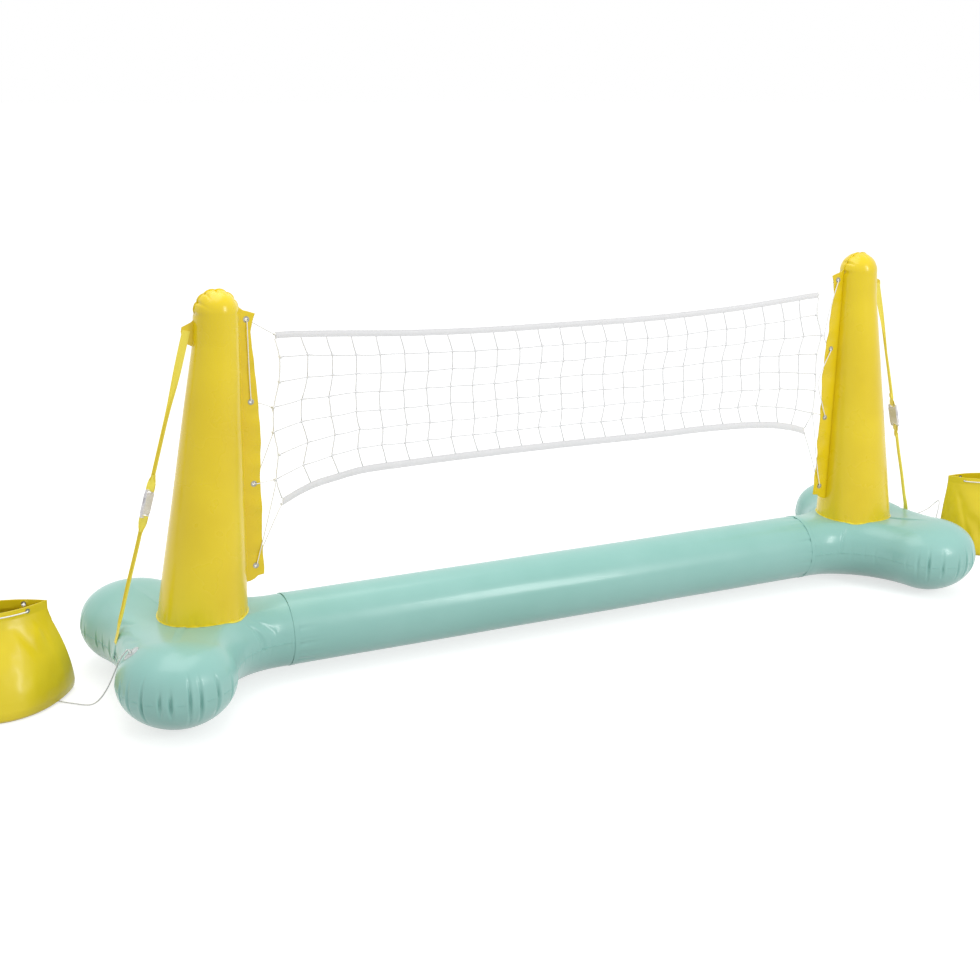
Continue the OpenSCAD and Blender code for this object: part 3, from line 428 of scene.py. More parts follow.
anchors = {
    "diameter": 0.003,
    "left": [
        (-1.1415, -0.150, 0.1775), (-1.150, -0.143, 0.163), (-1.158, -0.132, 0.143), (-1.164, -0.118, 0.117),
        (-1.170, -0.100, 0.088), (-1.177, -0.078, 0.058), (-1.187, -0.055, 0.029), (-1.199, -0.032, 0.009),
        (-1.213, -0.012, 0.0025), (-1.229, 0.004, 0.002), (-1.244, 0.016, 0.002), (-1.257, 0.027, 0.0025),
        (-1.265, 0.035, 0.004),
    ],
    "right": [
        (1.1415, 0.150, 0.1775), (1.158, 0.134, 0.150), (1.180, 0.116, 0.127), (1.208, 0.104, 0.111),
        (1.238, 0.098, 0.103), (1.270, 0.098, 0.102), (1.303, 0.100, 0.109), (1.317, 0.100, 0.115),
        (1.330, 0.098, 0.126), (1.337, 0.091, 0.137), (1.336, 0.082, 0.136), (1.328, 0.076, 0.116),
        (1.319, 0.072, 0.090), (1.311, 0.069, 0.056), (1.306, 0.066, 0.024), (1.308, 0.066, 0.006),
        (1.318, 0.069, 0.003), (1.337, 0.071, 0.0035),
    ],
}
for end in ends:
    piece, path = rope("anchorCord_" + end, anchors[end], anchors["diameter"] / 2, anchorCord)
    settle(piece, "base", "white_cord", "anchor_cord_" + end)
    print("anchor cord", end, round(pathLength(path), 3), "m")

beam = {
    "radius": 0.0855, "half": 0.745, "height": 0.1018, "around": 288, "cuts": 220,
    "puckers": 46, "puckerWidth": (0.03, 0.07), "puckerDepth": (0.0006, 0.0016), "puckerReach": (0.018, 0.05),
    "cuff": 0.012, "unevenness": 0.0007, "seed": 4,
}


def makeBeam(b):
    deselectAll()
    bpy.ops.mesh.primitive_cylinder_add(
        vertices=b["around"], radius=b["radius"], depth=2 * b["half"], location=(0, 0, b["height"]),
        rotation=(0, pi / 2, 0))
    piece = bpy.context.object
    piece.name = "beamSkin"
    bpy.ops.object.transform_apply(location=True, rotation=True, scale=True)
    bpy.ops.object.mode_set(mode="EDIT")
    bpy.ops.mesh.select_mode(type="EDGE")
    bpy.ops.mesh.select_all(action="DESELECT")
    bpy.ops.object.mode_set(mode="OBJECT")
    mesh = piece.data
    # only the edges that run the whole length are cut
    for edge in mesh.edges:
        a, c = (mesh.vertices[i].co.x for i in edge.vertices)
        edge.select = abs(a - c) > b["half"]
    bpy.ops.object.mode_set(mode="EDIT")
    bpy.ops.mesh.subdivide(number_cuts=b["cuts"])
    bpy.ops.object.mode_set(mode="OBJECT")
    # place round the tube, width, depth, reach and end of each pucker beside a cuff
    chance = random.Random(b["seed"])
    draw = chance.uniform
    puckers = [(draw(0, 2 * pi), draw(*b["puckerWidth"]), draw(*b["puckerDepth"]),
                draw(*b["puckerReach"]), chance.choice((-1, 1))) for _ in range(b["puckers"])]
    for vertex in mesh.vertices:
        x, y, z = vertex.co.x, vertex.co.y, vertex.co.z - b["height"]
        r = hypot(y, z)
        angle = atan2(z, y)
        swell = b["unevenness"] * noise.noise(Vector((x * 5, y * 9, z * 9)))
        for at, width, depth, reach, end in puckers:
            run = b["half"] - b["cuff"] - end * x
            swell -= depth * bell(wrapped(angle - at) / width) * bell(run / reach)
        vertex.co.y *= (r + swell) / r
        vertex.co.z = b["height"] + z * (r + swell) / r
    mesh.materials.append(aquaVinyl)
    pick(piece)
    bpy.ops.object.shade_smooth_by_angle(angle=radians(60))
    settle(piece, "base", "aqua_vinyl", "beam_tube")


makeBeam(beam)
print("beam made")

foot = {
    "start": 0.745, "lobeX": 1.046, "lobeY": 0.183, "lobeR": 0.130, "filletR": 0.157, "notchX": 1.140,
    "beamR": 0.0855, "rise": 0.1036, "round": 0.154, "seamZ": 0.1018, "rings": 40, "step": 0.0017,
    "topRise": 0.0975, "shoulder": 2.5,
    "patchX": 1.134, "patchY": 0.153, "patchReach": 0.045,
    "waistX": 0.935, "waistRise": 0.079, "waistDip": 0.009, "waistFrom": 0.095, "waistTo": 0.275,
    "pleatGap": 0.041, "pleatDepth": 0.0105, "pleatWidth": (0.0028, 0.0042), "pleatReach": (0.022, 0.038),
    "seamWidth": 0.0022, "seamThick": 0.001, "seamTuck": 0.0012,
    "easeFrom": 0.055, "easeOver": 0.035, "easeRounds": 60, "seeds": {"left": 11, "right": 23},
}
creases = {
    "left": [
        ((0.858, -0.088), (0.806, -0.100), 0.0034, 0.0035),
        ((0.846, -0.074), (0.790, -0.082), 0.0018, 0.003),
        ((1.121, 0.034), (1.098, -0.010), 0.0030, 0.006),
        ((1.128, -0.055), (1.112, -0.115), 0.0020, 0.005),
        ((0.850, 0.082), (0.806, 0.098), 0.0030, 0.0035),
    ],
    "right": [
        ((0.846, -0.078), (0.822, -0.098), 0.0032, 0.0035),
        ((1.121, -0.030), (1.098, 0.010), 0.0030, 0.006),
        ((1.128, 0.055), (1.112, 0.115), 0.0020, 0.005),
        ((0.850, 0.082), (0.806, 0.098), 0.0030, 0.0035),
    ],
}


def footPlan(f):
    # arcs of the outline: beam side, hollow, lobe, notch, with the spine point that each part leans on
    filletY = f["beamR"] + f["filletR"]
    filletX = f["lobeX"] - sqrt((f["lobeR"] + f["filletR"]) ** 2 - (filletY - f["lobeY"]) ** 2)
    filletEnd = atan2(f["lobeY"] - filletY, f["lobeX"] - filletX)
    notchIn = f["notchX"] - f["lobeX"]
    notchR = (notchIn ** 2 + f["lobeY"] ** 2 - f["lobeR"] ** 2) / (2 * (f["lobeR"] - notchIn))
    notchC = f["notchX"] + notchR
    lobeEnd = atan2(-f["lobeY"], notchC - f["lobeX"])
    notchStart = atan2(f["lobeY"], f["lobeX"] - notchC)
    reach = f["notchX"] + f["filletR"]
    hubX = (reach ** 2 - filletX ** 2 - filletY ** 2) / (2 * (reach - filletX))
    return dict(filletX=filletX, filletY=filletY, filletEnd=filletEnd, notchR=notchR, notchC=notchC,
                lobeEnd=lobeEnd, notchStart=notchStart, hubX=hubX)


plan = footPlan(foot)


def footInside(f, p, x, y):
    v = np.abs(y)
    far = np.full_like(x, 1.0)
    filletA = np.arctan2(v - p["filletY"], x - p["filletX"])
    lobeA = np.arctan2(v - f["lobeY"], x - f["lobeX"])
    notchA = np.arctan2(v, x - p["notchC"])
    parts = [
        np.where(x <= p["filletX"], f["beamR"] - v, far),
        np.where((x > p["filletX"]) & (filletA <= p["filletEnd"]),
                 np.hypot(x - p["filletX"], v - p["filletY"]) - f["filletR"], far),
        np.where((lobeA >= p["lobeEnd"] - 1e-4) & (lobeA <= p["filletEnd"] + pi + 1e-4),
                 f["lobeR"] - np.hypot(x - f["lobeX"], v - f["lobeY"]), far),
        np.where(notchA >= p["notchStart"], np.hypot(x - p["notchC"], v) - p["notchR"], far),
    ]
    return np.minimum.reduce(parts)


def smoothStep(s):
    s = np.clip(s, 0, 1)
    return s * s * (3 - 2 * s)


def footSwell(f, p, x, y, rise, power):
    # quarter of an oval over the distance from the edge, round at the beam and fuller towards the lobes
    s = smoothStep((x - f["start"] + 0.005) / 0.180)
    across = f["beamR"] + (f["round"] - f["beamR"]) * s
    up = f["beamR"] + (rise - f["beamR"]) * s
    n = 2 + (power - 2) * s
    t = np.clip(footInside(f, p, x, y) / across, 0, 1)
    return up * np.clip(1 - (1 - t) ** n, 0, 1) ** (1 / n)


def footRise(f, p, x, y):
    # the upper skin is drawn in round the post, most at its beam side and its notch side
    full = footSwell(f, p, x, y, f["topRise"], f["shoulder"])
    near = np.exp(-((x - f["patchX"]) ** 2 + (np.abs(y) - f["patchY"]) ** 2) / f["patchReach"] ** 2)
    full = full + (footSwell(f, p, x, y, f["rise"], 2) - full) * near
    away = np.hypot((x - f["waistX"]) * np.where(x < f["waistX"], 1.25, 1.0), y)
    hold = 1 - smoothStep((away - f["waistFrom"]) / (f["waistTo"] - f["waistFrom"]))
    sunk = f["waistRise"] - f["waistDip"] * ((x - f["waistX"]) / np.maximum(away, 0.02)) ** 2
    return full - np.maximum(0, full - sunk) * hold


def footTop(x, y):
    return foot["seamZ"] + float(footRise(foot, plan, np.array([x]), np.array([y]))[0])


def creaseDepth(lines, x, y):
    total = np.zeros_like(x)
    for (x0, y0), (x1, y1), depth, width in lines:
        size = hypot(x1 - x0, y1 - y0)
        along = ((x - x0) * (x1 - x0) + (y - y0) * (y1 - y0)) / size ** 2
        near = np.clip(along, 0, 1)
        gap = np.hypot(x - x0 - near * (x1 - x0), y - y0 - near * (y1 - y0))
        fade = np.sin(np.pi * np.clip(along * 0.9 + 0.05, 0, 1)) ** 0.5
        total += depth * np.exp(-(gap / width) ** 2) * fade
    return total


def footOutline(f, p):
    # dense points round one half: place, outward direction, spine point, and which part it is on
    out = []

    def spineAt(q):
        if q <= 0.5:
            return (f["start"] + (p["hubX"] - f["start"]) * q * 2, 0.0)
        w = q * 2 - 1
        return (p["hubX"] + (f["lobeX"] - p["hubX"]) * w, f["lobeY"] * w)

    def addArc(part, x, y, radius, start, end, outward, spine, last=0):
        count = round(abs(end - start) * radius / f["step"])
        for i in range(count + last):
            q = i / count
            a = start + (end - start) * q
            c, s = cos(a), sin(a)
            lean = spineAt(spine[0] + (spine[1] - spine[0]) * q)
            out.append(((x + radius * c, y + radius * s), (outward * c, outward * s), lean, part))

    straight = max(2, round((p["filletX"] - f["start"]) / f["step"]))
    for i in range(straight):
        q = i / straight
        place = (f["start"] + (p["filletX"] - f["start"]) * q, f["beamR"])
        out.append((place, (0, 1), spineAt(0.08 * q), "beam"))
    addArc("hollow", p["filletX"], p["filletY"], f["filletR"], -pi / 2, p["filletEnd"], -1, (0.08, 1))
    addArc("lobe", f["lobeX"], f["lobeY"], f["lobeR"], p["filletEnd"] + pi, p["lobeEnd"], 1, (1, 1))
    addArc("notch", p["notchC"], 0, p["notchR"], p["notchStart"], pi, -1, (1, 0.5), last=1)
    return out


def pleatPower(f, p, place, part):
    # pleats are strongest round the lobe's far end
    if part != "lobe":
        return {"beam": 0.10, "hollow": 0.12, "notch": 0.35}[part]
    axis = atan2(f["lobeY"], f["lobeX"] - p["hubX"])
    turn = abs(atan2(abs(place[1]) - f["lobeY"], place[0] - f["lobeX"]) - axis)
    return 0.12 + 0.88 * ease((radians(95) - turn) / radians(50))


def pleatsAlong(f, runs, strengths, seed):
    # valleys across the seam: where, how wide, how deep above and below, how far they reach in
    draw = random.Random(seed).uniform
    pleats, at = [], 0.012
    while at < runs[-1]:
        power = strengths[int(np.searchsorted(runs, at)) - 1]
        depth = power * f["pleatDepth"]
        pleats.append((at, draw(*f["pleatWidth"]), depth * draw(0.5, 1.1), depth * draw(0.55, 1.1),
                       draw(*f["pleatReach"]) * (0.55 + 0.45 * power)))
        at += f["pleatGap"] * draw(0.55, 1.25)
    return pleats


def makeFoot(f, p, end):
    side = sideOf(end)
    half = footOutline(f, p)
    full = half + [((x, -y), (nx, -ny), (sx, -sy), part) for (x, y), (nx, ny), (sx, sy), part in half[-2::-1]]
    place, normals, spine = (np.array([spot[k] for spot in full]) for k in range(3))
    runs = np.cumsum(np.r_[0, np.hypot(*np.diff(place, axis=0).T)])
    pleats = pleatsAlong(f, runs, [pleatPower(f, p, spot[0], spot[3]) for spot in full], f["seeds"][end])
    count, rings = len(full), f["rings"]
    share = 1 - np.cos(np.pi / 2 * np.arange(rings + 1) / rings)
    grid = place[None] + (spine - place)[None] * share[:, None, None]
    x, y = grid[..., 0], grid[..., 1]
    top = f["seamZ"] + footRise(f, p, x, y)
    low = np.maximum(0.0, f["seamZ"] - footSwell(f, p, x, y, f["rise"], 2))
    skins = []
    for under, height in enumerate((top, low)):
        skin = np.dstack([grid, height])
        # walk is the distance over the skin from the seam
        walk = np.vstack([np.zeros(count), np.cumsum(np.linalg.norm(np.diff(skin, axis=0), axis=2), axis=0)])
        fold = np.zeros_like(walk) if under else creaseDepth(creases[end], x, y)
        for at, width, above, below, reach in pleats:
            line = bells((runs - at) / width) - 0.35 * bells((runs - at) / (width * 2.6))
            fold += (above, below)[under] * line[None] * bells(walk / reach)
        normal = np.cross(np.gradient(skin, axis=1), np.gradient(skin, axis=0))
        normal /= np.maximum(np.linalg.norm(normal, axis=2, keepdims=True), 1e-9)
        outward = skin - np.dstack([np.broadcast_to(spine, grid.shape), np.full(grid.shape[:2], f["seamZ"])])
        flip = np.sign((normal * outward).sum(axis=2, keepdims=True))
        skin -= normal * np.where(flip == 0, 1, flip) * fold[..., None]
        skin[..., 2] = np.maximum(skin[..., 2], 0.0)
        skins.append(skin)
    skins[1][0] = skins[0][0]  # the ring at the seam is shared
    upper = bandFaces(rings + 1, count, closed=False)
    lower = [tuple(q + (rings + 1) * count for q in quad) for quad in upper]
    points = np.concatenate(skins).reshape(-1, 3) * (side, 1, 1)
    piece = meshPiece("footSkin_" + end, points, upper + lower, aquaVinyl)
    closeSkin(piece, 0.00002)
    # ease the ridge between the lobes and the hub, away from the seam
    group = piece.vertex_groups.new(name="ease")
    flat = np.empty(len(piece.data.vertices) * 3)
    piece.data.vertices.foreach_get("co", flat)
    xs, ys = np.abs(flat[0::3]), flat[1::3]
    weights = smoothStep((footInside(f, p, xs, ys) - f["easeFrom"]) / f["easeOver"])
    weights = weights * (xs > f["start"] + 0.01)
    for step in range(1, 11):
        chosen = np.nonzero(np.round(weights * 10) == step)[0].tolist()
        if chosen:
            group.add(chosen, step / 10, "REPLACE")
    applyModifier(piece, "SMOOTH", "ease", factor=0.5, iterations=f["easeRounds"], vertex_group="ease")
    piece.vertex_groups.clear()
    settle(piece, "base", "aqua_vinyl", "foot_" + end)
    # welded seam that stands out round the foot and waves with the pleats
    inward, wave = np.zeros(count), np.zeros(count)
    for i, (at, width, above, below, reach) in enumerate(pleats):
        inward += (above + below) * 0.40 * bells((runs - at) / width)
        wave += (above + below) * 0.16 * bells((runs - at) / (width * 1.6)) * (1 if i % 2 else -1)
    seamPoints = []
    for out in (0.0, 0.5, 1.0):
        q = place + normals * (f["seamWidth"] * out - f["seamTuck"] - inward)[:, None]
        seamPoints += list(np.c_[side * q[:, 0], q[:, 1], f["seamZ"] + wave * out])
    strips = bandFaces(3, count, closed=False)
    seam = filmPiece("footSeam_" + end, seamPoints, strips, aquaVinyl, f["seamThick"])
    settle(seam, "base", "aqua_vinyl", "foot_seam_" + end)
    return piece


feet = {end: makeFoot(foot, plan, end) for end in ends}
print("feet made")

post = {
    "side": 0.834, "lowR": 0.1006, "lowZ": 0.190, "neckR": 0.0512, "neckZ": 0.800,
    "crownR": 0.0492, "crownZ": 0.865,
    "around": 144, "levels": 110, "dome": 38, "weldWidth": 0.0022, "weldThick": 0.0008, "sink": 0.003,
    "scallops": 6, "scallop": 0.0030, "tuck": 0.0042, "tuckWidth": (0.045, 0.07), "tuckReach": (0.016, 0.026),
    "gathers": 22, "gatherWidth": (0.03, 0.06), "gatherDepth": (0.0008, 0.0022), "gatherReach": (0.012, 0.035),
    "straight": 8, "ruffle": 0.0002,
    "unevenness": 0.0009, "seeds": {"left": 7, "right": 19},
}


def postRadius(z):
    heights = (post["lowZ"], post["neckZ"], post["crownZ"])
    radii = (post["lowR"], post["neckR"], post["crownR"])
    k = 0 if z <= heights[1] else 1
    return radii[k] + (radii[k + 1] - radii[k]) * (z - heights[k]) / (heights[k + 1] - heights[k])


def postAt(angle, z, out=0.0):
    r = postRadius(z)
    return (post["side"] + r + (r + out) * cos(angle), (r + out) * sin(angle))


def postLanding(angle, out=0.0):
    z = post["lowZ"]
    for _ in range(8):
        z = footTop(*postAt(angle, z, out))
    return z


def skinHeight(skin, side, x, y, fallback):
    hit, where, _, _ = skin.ray_cast(Vector((side * x, y, 0.4)), Vector((0, 0, -1)))
    return where.z if hit else fallback


def makePost(end):
    side = sideOf(end)
    draw = random.Random(post["seeds"][end]).uniform
    around, levels, dome, straight = (post[key] for key in ("around", "levels", "dome", "straight"))
    crownX = post["side"] + post["crownR"]
    angles = [2 * pi * i / around for i in range(around)]
    lows = [postLanding(a) for a in angles]
    # place round the post, width, depth and reach of each gather at the foot and each tuck in the crown
    gathers = [(2 * pi * k / post["gathers"] + draw(-0.08, 0.08), draw(*post["gatherWidth"]),
                draw(*post["gatherDepth"]), draw(*post["gatherReach"])) for k in range(post["gathers"])]
    tucks = [(pi * k / post["scallops"], draw(*post["tuckWidth"]), post["tuck"] * draw(0.7, 1.1),
              draw(*post["tuckReach"])) for k in range(post["scallops"] + 1)]
    points = []
    for j in range(levels + 1):
        for a, low in zip(angles, lows):
            start = low - post["sink"]
            z = start + (post["neckZ"] - start) * j / levels
            r = postRadius(z)
            spot = Vector((cos(a) * 1.3, sin(a) * 1.3, z * 7 + (0 if side < 0 else 5)))
            push = post["unevenness"] * noise.noise(spot)
            for at, width, depth, reach in gathers:
                push -= depth * bell(wrapped(a - at) / width) * bell((z - low) / reach)
            x = post["side"] + r + (r + push) * cos(a)
            points.append((side * x, (r + push) * sin(a), z))
    for j in range(1, dome + 1):
        # straight up to the crown's centre, then round over it
        z = post["neckZ"] + (post["crownZ"] - post["neckZ"]) * min(1, j / straight)
        r = postRadius(z)
        t = pi / 2 * max(0, j - straight) / (dome - straight)
        for a in angles:
            out = Vector((cos(t) * cos(a), cos(t) * sin(a), sin(t)))
            spot = Vector((post["side"] + r, 0, z)) + out * r
            rise = spot.z - post["crownZ"]
            if rise > -0.02:
                bend = atan2(rise, spot.x - crownX)
                spot -= out * sum(depth * bell((bend - at) / width) * bell(spot.y / reach)
                                  for at, width, depth, reach in tucks)
            points.append((side * spot.x, spot.y, spot.z))
    piece = meshPiece("postSkin_" + end, points, bandFaces(levels + 1 + dome, around), yellowVinyl)
    closeSkin(piece, 0.00005)
    settle(piece, "base", "yellow_vinyl", "post_" + end)
    # welded ring on the foot's skin, in a yellow painted paler than the post's as painted light against the
    # shade at its foot
    ring = []
    for k, out in enumerate((-0.002, 0.0, post["weldWidth"] / 2, post["weldWidth"])):
        for a, low in zip(angles, lows):
            x, y = postAt(a, low, out)
            z = skinHeight(feet[end], side, x, y, footTop(x, y)) + (0.0014 if k == 0 else 0.0002)
            ring.append((side * x, y, z + post["ruffle"] * sin(a * 23) * (k > 1)))
    weld = filmPiece("postWeld_" + end, ring, bandFaces(4, around), weldVinylPaintedLight, post["weldThick"], offset=1.0)
    settle(weld, "base", "yellow_vinyl", "post_weld_" + end)
    # narrow welded edge over the crown, scalloped between the tucks
    line, steps = [], 180
    for i in range(steps + 1):
        a = pi * i / steps
        bow = abs(sin(a * post["scallops"])) ** 0.7
        for out, wave in ((-0.005, 0), (post["scallop"] * bow - 0.0006, 0.0004)):
            r = post["crownR"] + out
            x, z = crownX + r * cos(a), post["crownZ"] + r * sin(a)
            line.append((side * x, wave * sin(a * 17), z))
    seam = filmPiece("crownSeam_" + end, line, bandFaces(steps + 1, 2, closed=False), yellowVinyl, 0.0012)
    settle(seam, "base", "yellow_vinyl", "crown_seam_" + end)


for end in ends:
    makePost(end)
print("posts made")

flap = {
    "edge": [(0.789, 0.247), (0.788, 0.262), (0.792, 0.330), (0.790, 0.400), (0.793, 0.480), (0.789, 0.560),
             (0.792, 0.640), (0.798, 0.720), (0.804, 0.780), (0.806, 0.815), (0.802, 0.838), (0.796, 0.856)],
    "low": [(0.8345, 0.232), (0.822, 0.234), (0.812, 0.238), (0.803, 0.245), (0.789, 0.247)],
    "inner": [(0.8345, 0.232), (0.8345, 0.860), (0.8372, 0.882)],
    "high": [(0.8372, 0.882), (0.831, 0.871), (0.822, 0.8645), (0.810, 0.861), (0.796, 0.856)],
    "eyelets": [(0.816, 0.844), (0.810, 0.657), (0.808, 0.466), (0.808, 0.270)],
    "thick": 0.0012, "hole": 0.0042, "wave": 0.0015, "rows": 420, "cols": 30,
    "ripples": ((72, 1.0), (131, 0.6), (37, 0.4)), "seeds": {"left": 31, "right": 37},
}


def alongLine(line, s):
    marks = np.r_[0, np.cumsum([dist(a, b) for a, b in zip(line, line[1:])])]
    return [float(np.interp(s * marks[-1], marks, part)) for part in zip(*line)]


def makeFlap(end):
    side = sideOf(end)
    draw = random.Random(flap["seeds"][end]).uniform
    rows, cols = flap["rows"], flap["cols"]
    phase = [draw(0, 6) for _ in range(3)]
    corners = [alongLine(flap[line], s) for line in ("low", "high") for s in (0, 1)]

    def clearOf(x, z):
        return min(dist((x, z), at) for at in flap["eyelets"])

    lows, highs = ([alongLine(flap[line], i / cols) for i in range(cols + 1)] for line in ("low", "high"))
    points = []
    for j in range(rows + 1):
        v = j / rows
        inner, outer = alongLine(flap["inner"], v), alongLine(flap["edge"], v)
        for i, (low, high) in enumerate(zip(lows, highs)):
            u = i / cols
            shares = ((1 - u) * (1 - v), u * (1 - v), (1 - u) * v, u * v)
            x, z = (inner[k] * (1 - u) + outer[k] * u + low[k] * (1 - v) + high[k] * v
                    - sum(share * corner[k] for share, corner in zip(shares, corners)) for k in (0, 1))
            ripple = sum(part * sin(z * rate + shift) for (rate, part), shift in zip(flap["ripples"], phase))
            points.append((side * x, flap["wave"] * u * ease((clearOf(x, z) - 0.008) / 0.022) * ripple, z))
    faces = []
    for quad in bandFaces(rows + 1, cols + 1, closed=False):
        x, z = (sum(abs(points[q][k]) for q in quad) / 4 for k in (0, 2))
        if clearOf(x, z) > flap["hole"]:
            faces.append(quad)
    used = sorted({q for face in faces for q in face})
    renumber = {q: k for k, q in enumerate(used)}
    faces = [tuple(renumber[q] for q in face) for face in faces]
    piece = filmPiece("netFlap_" + end, [points[q] for q in used], faces, yellowVinyl, flap["thick"])
    settle(piece, "base", "yellow_vinyl", "net_flap_" + end)


for end in ends:
    makeFlap(end)
print("flaps made")

net = {
    "cols": 25, "rows": 7, "thread": 0.0016, "knot": 0.0025, "unevenness": 0.0016, "cord": 0.0016,
    "seed": 5, "slackDown": (-0.0012, 0.0012), "slackAlong": (-0.0008, 0.0020),
    "topWidth": 0.015, "lowWidth": 0.018, "tapeThick": 0.0024, "tapeStep": 0.004,
    "puckerGap": 0.028, "puckerWidth": (0.006, 0.016),
    "lean": (0.0, 0.012, 0.012, 0.006, 0.009, 0.014, 0.009, 0.021),  # sideways, for each row of knots
    "top": [
        (-0.750, 0.811), (-0.727, 0.812), (-0.645, 0.808), (-0.537, 0.801), (-0.450, 0.795),
        (-0.300, 0.789), (-0.190, 0.787), (0.0, 0.786), (0.140, 0.785), (0.260, 0.786), (0.380, 0.790),
        (0.500, 0.795), (0.600, 0.803), (0.680, 0.809), (0.706, 0.812), (0.754, 0.814),
    ],
    "low": [
        (-0.741, 0.424), (-0.711, 0.439), (-0.674, 0.454), (-0.650, 0.461), (-0.613, 0.467),
        (-0.576, 0.474), (-0.538, 0.480), (-0.370, 0.483), (-0.185, 0.485), (0.040, 0.484),
        (0.280, 0.481), (0.400, 0.483), (0.530, 0.480), (0.620, 0.473), (0.675, 0.463), (0.709, 0.455),
        (0.741, 0.443),
    ],
    "left": [
        (-0.750, 0.796), (-0.738, 0.754), (-0.741, 0.697), (-0.757, 0.640), (-0.758, 0.582),
        (-0.745, 0.528), (-0.756, 0.470), (-0.741, 0.424),
    ],
    "right": [
        (0.754, 0.799), (0.751, 0.754), (0.776, 0.697), (0.762, 0.647), (0.764, 0.592), (0.767, 0.545),
        (0.765, 0.482), (0.741, 0.443),
    ],
}


def heightAt(line, x):
    return float(np.interp(x, *zip(*line)))


def byCount(line, s):
    last = len(line) - 1
    return [float(np.interp(s * last, range(last + 1), part)) for part in zip(*line)]


def netKnot(i, j):
    s, f = i / net["cols"], j / net["rows"]
    under = [(x, z - net["topWidth"]) for x, z in net["top"]]
    xTop = under[0][0] + (under[-1][0] - under[0][0]) * s
    xLow = net["low"][0][0] + (net["low"][-1][0] - net["low"][0][0]) * s
    lean = (0.85 + 0.5 * s) * min(1, i / 2, (net["cols"] - i) / 2)
    xLow += net["lean"][-1] * lean
    zTop, zLow = heightAt(under, xTop), heightAt(net["low"], xLow)
    x, z = xTop + (xLow - xTop) * f, zTop + (zLow - zTop) * f
    x += (net["lean"][j] - net["lean"][-1] * f) * lean
    near = 3 / net["cols"]
    for line, w in ((net["left"], 1 - ease(s / near)), (net["right"], 1 - ease((1 - s) / near))):
        p = byCount(line, f)
        x += (p[0] - line[0][0] - (line[-1][0] - line[0][0]) * f) * w
        z += (p[1] - line[0][1] - (line[-1][1] - line[0][1]) * f) * w
    return Vector((x, 0.0, z))


def makeNet():
    draw = random.Random(net["seed"]).uniform
    cols, rows = net["cols"], net["rows"]
    knots = {}
    for i in range(cols + 1):
        for j in range(rows + 1):
            shift = Vector((draw(-1, 1), draw(-0.3, 0.3), draw(-1, 1)))
            inside = 0 < j < rows and 0 < i < cols
            knots[i, j] = netKnot(i, j) + (shift * net["unevenness"] if inside else Vector())

    def strand(a, b, sag):
        across = Vector((b.z - a.z, 0, a.x - b.x)).normalized()
        line = [a.lerp(b, w) + across * sag * sin(pi * w) for w in (0, 0.25, 0.5, 0.75, 1)]
        return sweep(line, roundRing(net["thread"], 6))

    shapes = [strand(knots[i, j], knots[i, j + 1], draw(*net["slackDown"]))
              for i in range(1, cols) for j in range(rows)]
    shapes += [strand(knots[i, j], knots[i + 1, j], draw(*net["slackAlong"]))
               for j in range(1, rows) for i in range(cols)]
    for (i, j), at in knots.items():
        if 0 < j < rows:
            size = net["knot"] * (1.3 if i in (0, cols) else 1.0)
            lump = [at + Vector((0, 0, size * w)) for w in (-1.3, -0.6, 0.6, 1.3)]
            points, faces, uvs = sweep(lump, roundRing(size, 6))
            for k in (*range(6), *range(18, 24)):
                points[k] = lump[k // 6].lerp(points[k], 0.45)
            shapes.append((points, faces, uvs))
    points, faces, uvs = joinShapes(shapes)
    piece = meshPiece("netMesh", points, faces, netThread, uvs)
    settle(piece, "base", "white_cord", "net_mesh")
    for end in ends:
        out = sideOf(end)
        route = [(x + out * 0.0012, 0.0, z) for x, z in net[end]]
        cord, _ = rope("sideCord_" + end, route, net["cord"], whiteCord, rounds=2,
                       knots=[((x + out * 0.0014, 0.0, z), 0.0026) for x, z in net[end][1:-1]])
        settle(cord, "base", "white_cord", "side_cord_" + end)
    return piece


def makeTape(name, line, width, node, seed, ripple):
    # a folded tape: a soft flat tube with stitched edges and a few puckers
    draw = random.Random(seed).uniform
    path = softRoute([(x, 0, z) for x, z in line], 3)
    length = pathLength(path)
    runs = np.linspace(0, length, int(length / net["tapeStep"]) + 1)
    marks = np.r_[0, np.cumsum([(b - a).length for a, b in zip(path, path[1:])])]
    xs, zs = (np.interp(runs, marks, [p[k] for p in path]) for k in (0, 2))
    half = [(-1.0, 0.0), (-0.93, 0.55), (-0.80, 0.30), (-0.45, 0.85),
            (0.0, 1.0), (0.45, 0.85), (0.80, 0.30), (0.93, 0.55)]
    section = half + [(-h, -t) for h, t in half]
    puckers = [(draw(0, length), draw(*net["puckerWidth"]), draw(-1, 1))
               for _ in range(int(length / net["puckerGap"]))]
    points = []
    for run, x, z in zip(runs, xs, zs):
        bend = sum(deep * bell((run - at) / wide) for at, wide, deep in puckers)
        for h, t in section:
            y = t * net["tapeThick"] / 2 + ripple * bend * (0.3 + 0.7 * (1 - h) / 2)
            points.append((x + 0.0006 * bend * h, y, z + (h - 1) * width / 2 + 0.0004 * bend * t))
    sides = len(section)
    faces, uvs = tubeFaces(runs, [k * width * 2 / sides for k in range(sides + 1)], 0)
    piece = meshPiece(name, points, faces, tapeCloth, uvs)
    settle(piece, "base", "white_cord", node)
    return piece, length


mesh = makeNet()
topTape, topLength = makeTape("topTape", net["top"], net["topWidth"], "top_tape", 3, 0.0007)
lowTape, lowLength = makeTape("bottomTape", net["low"], net["lowWidth"], "bottom_tape", 8, 0.0012)
print("net made")

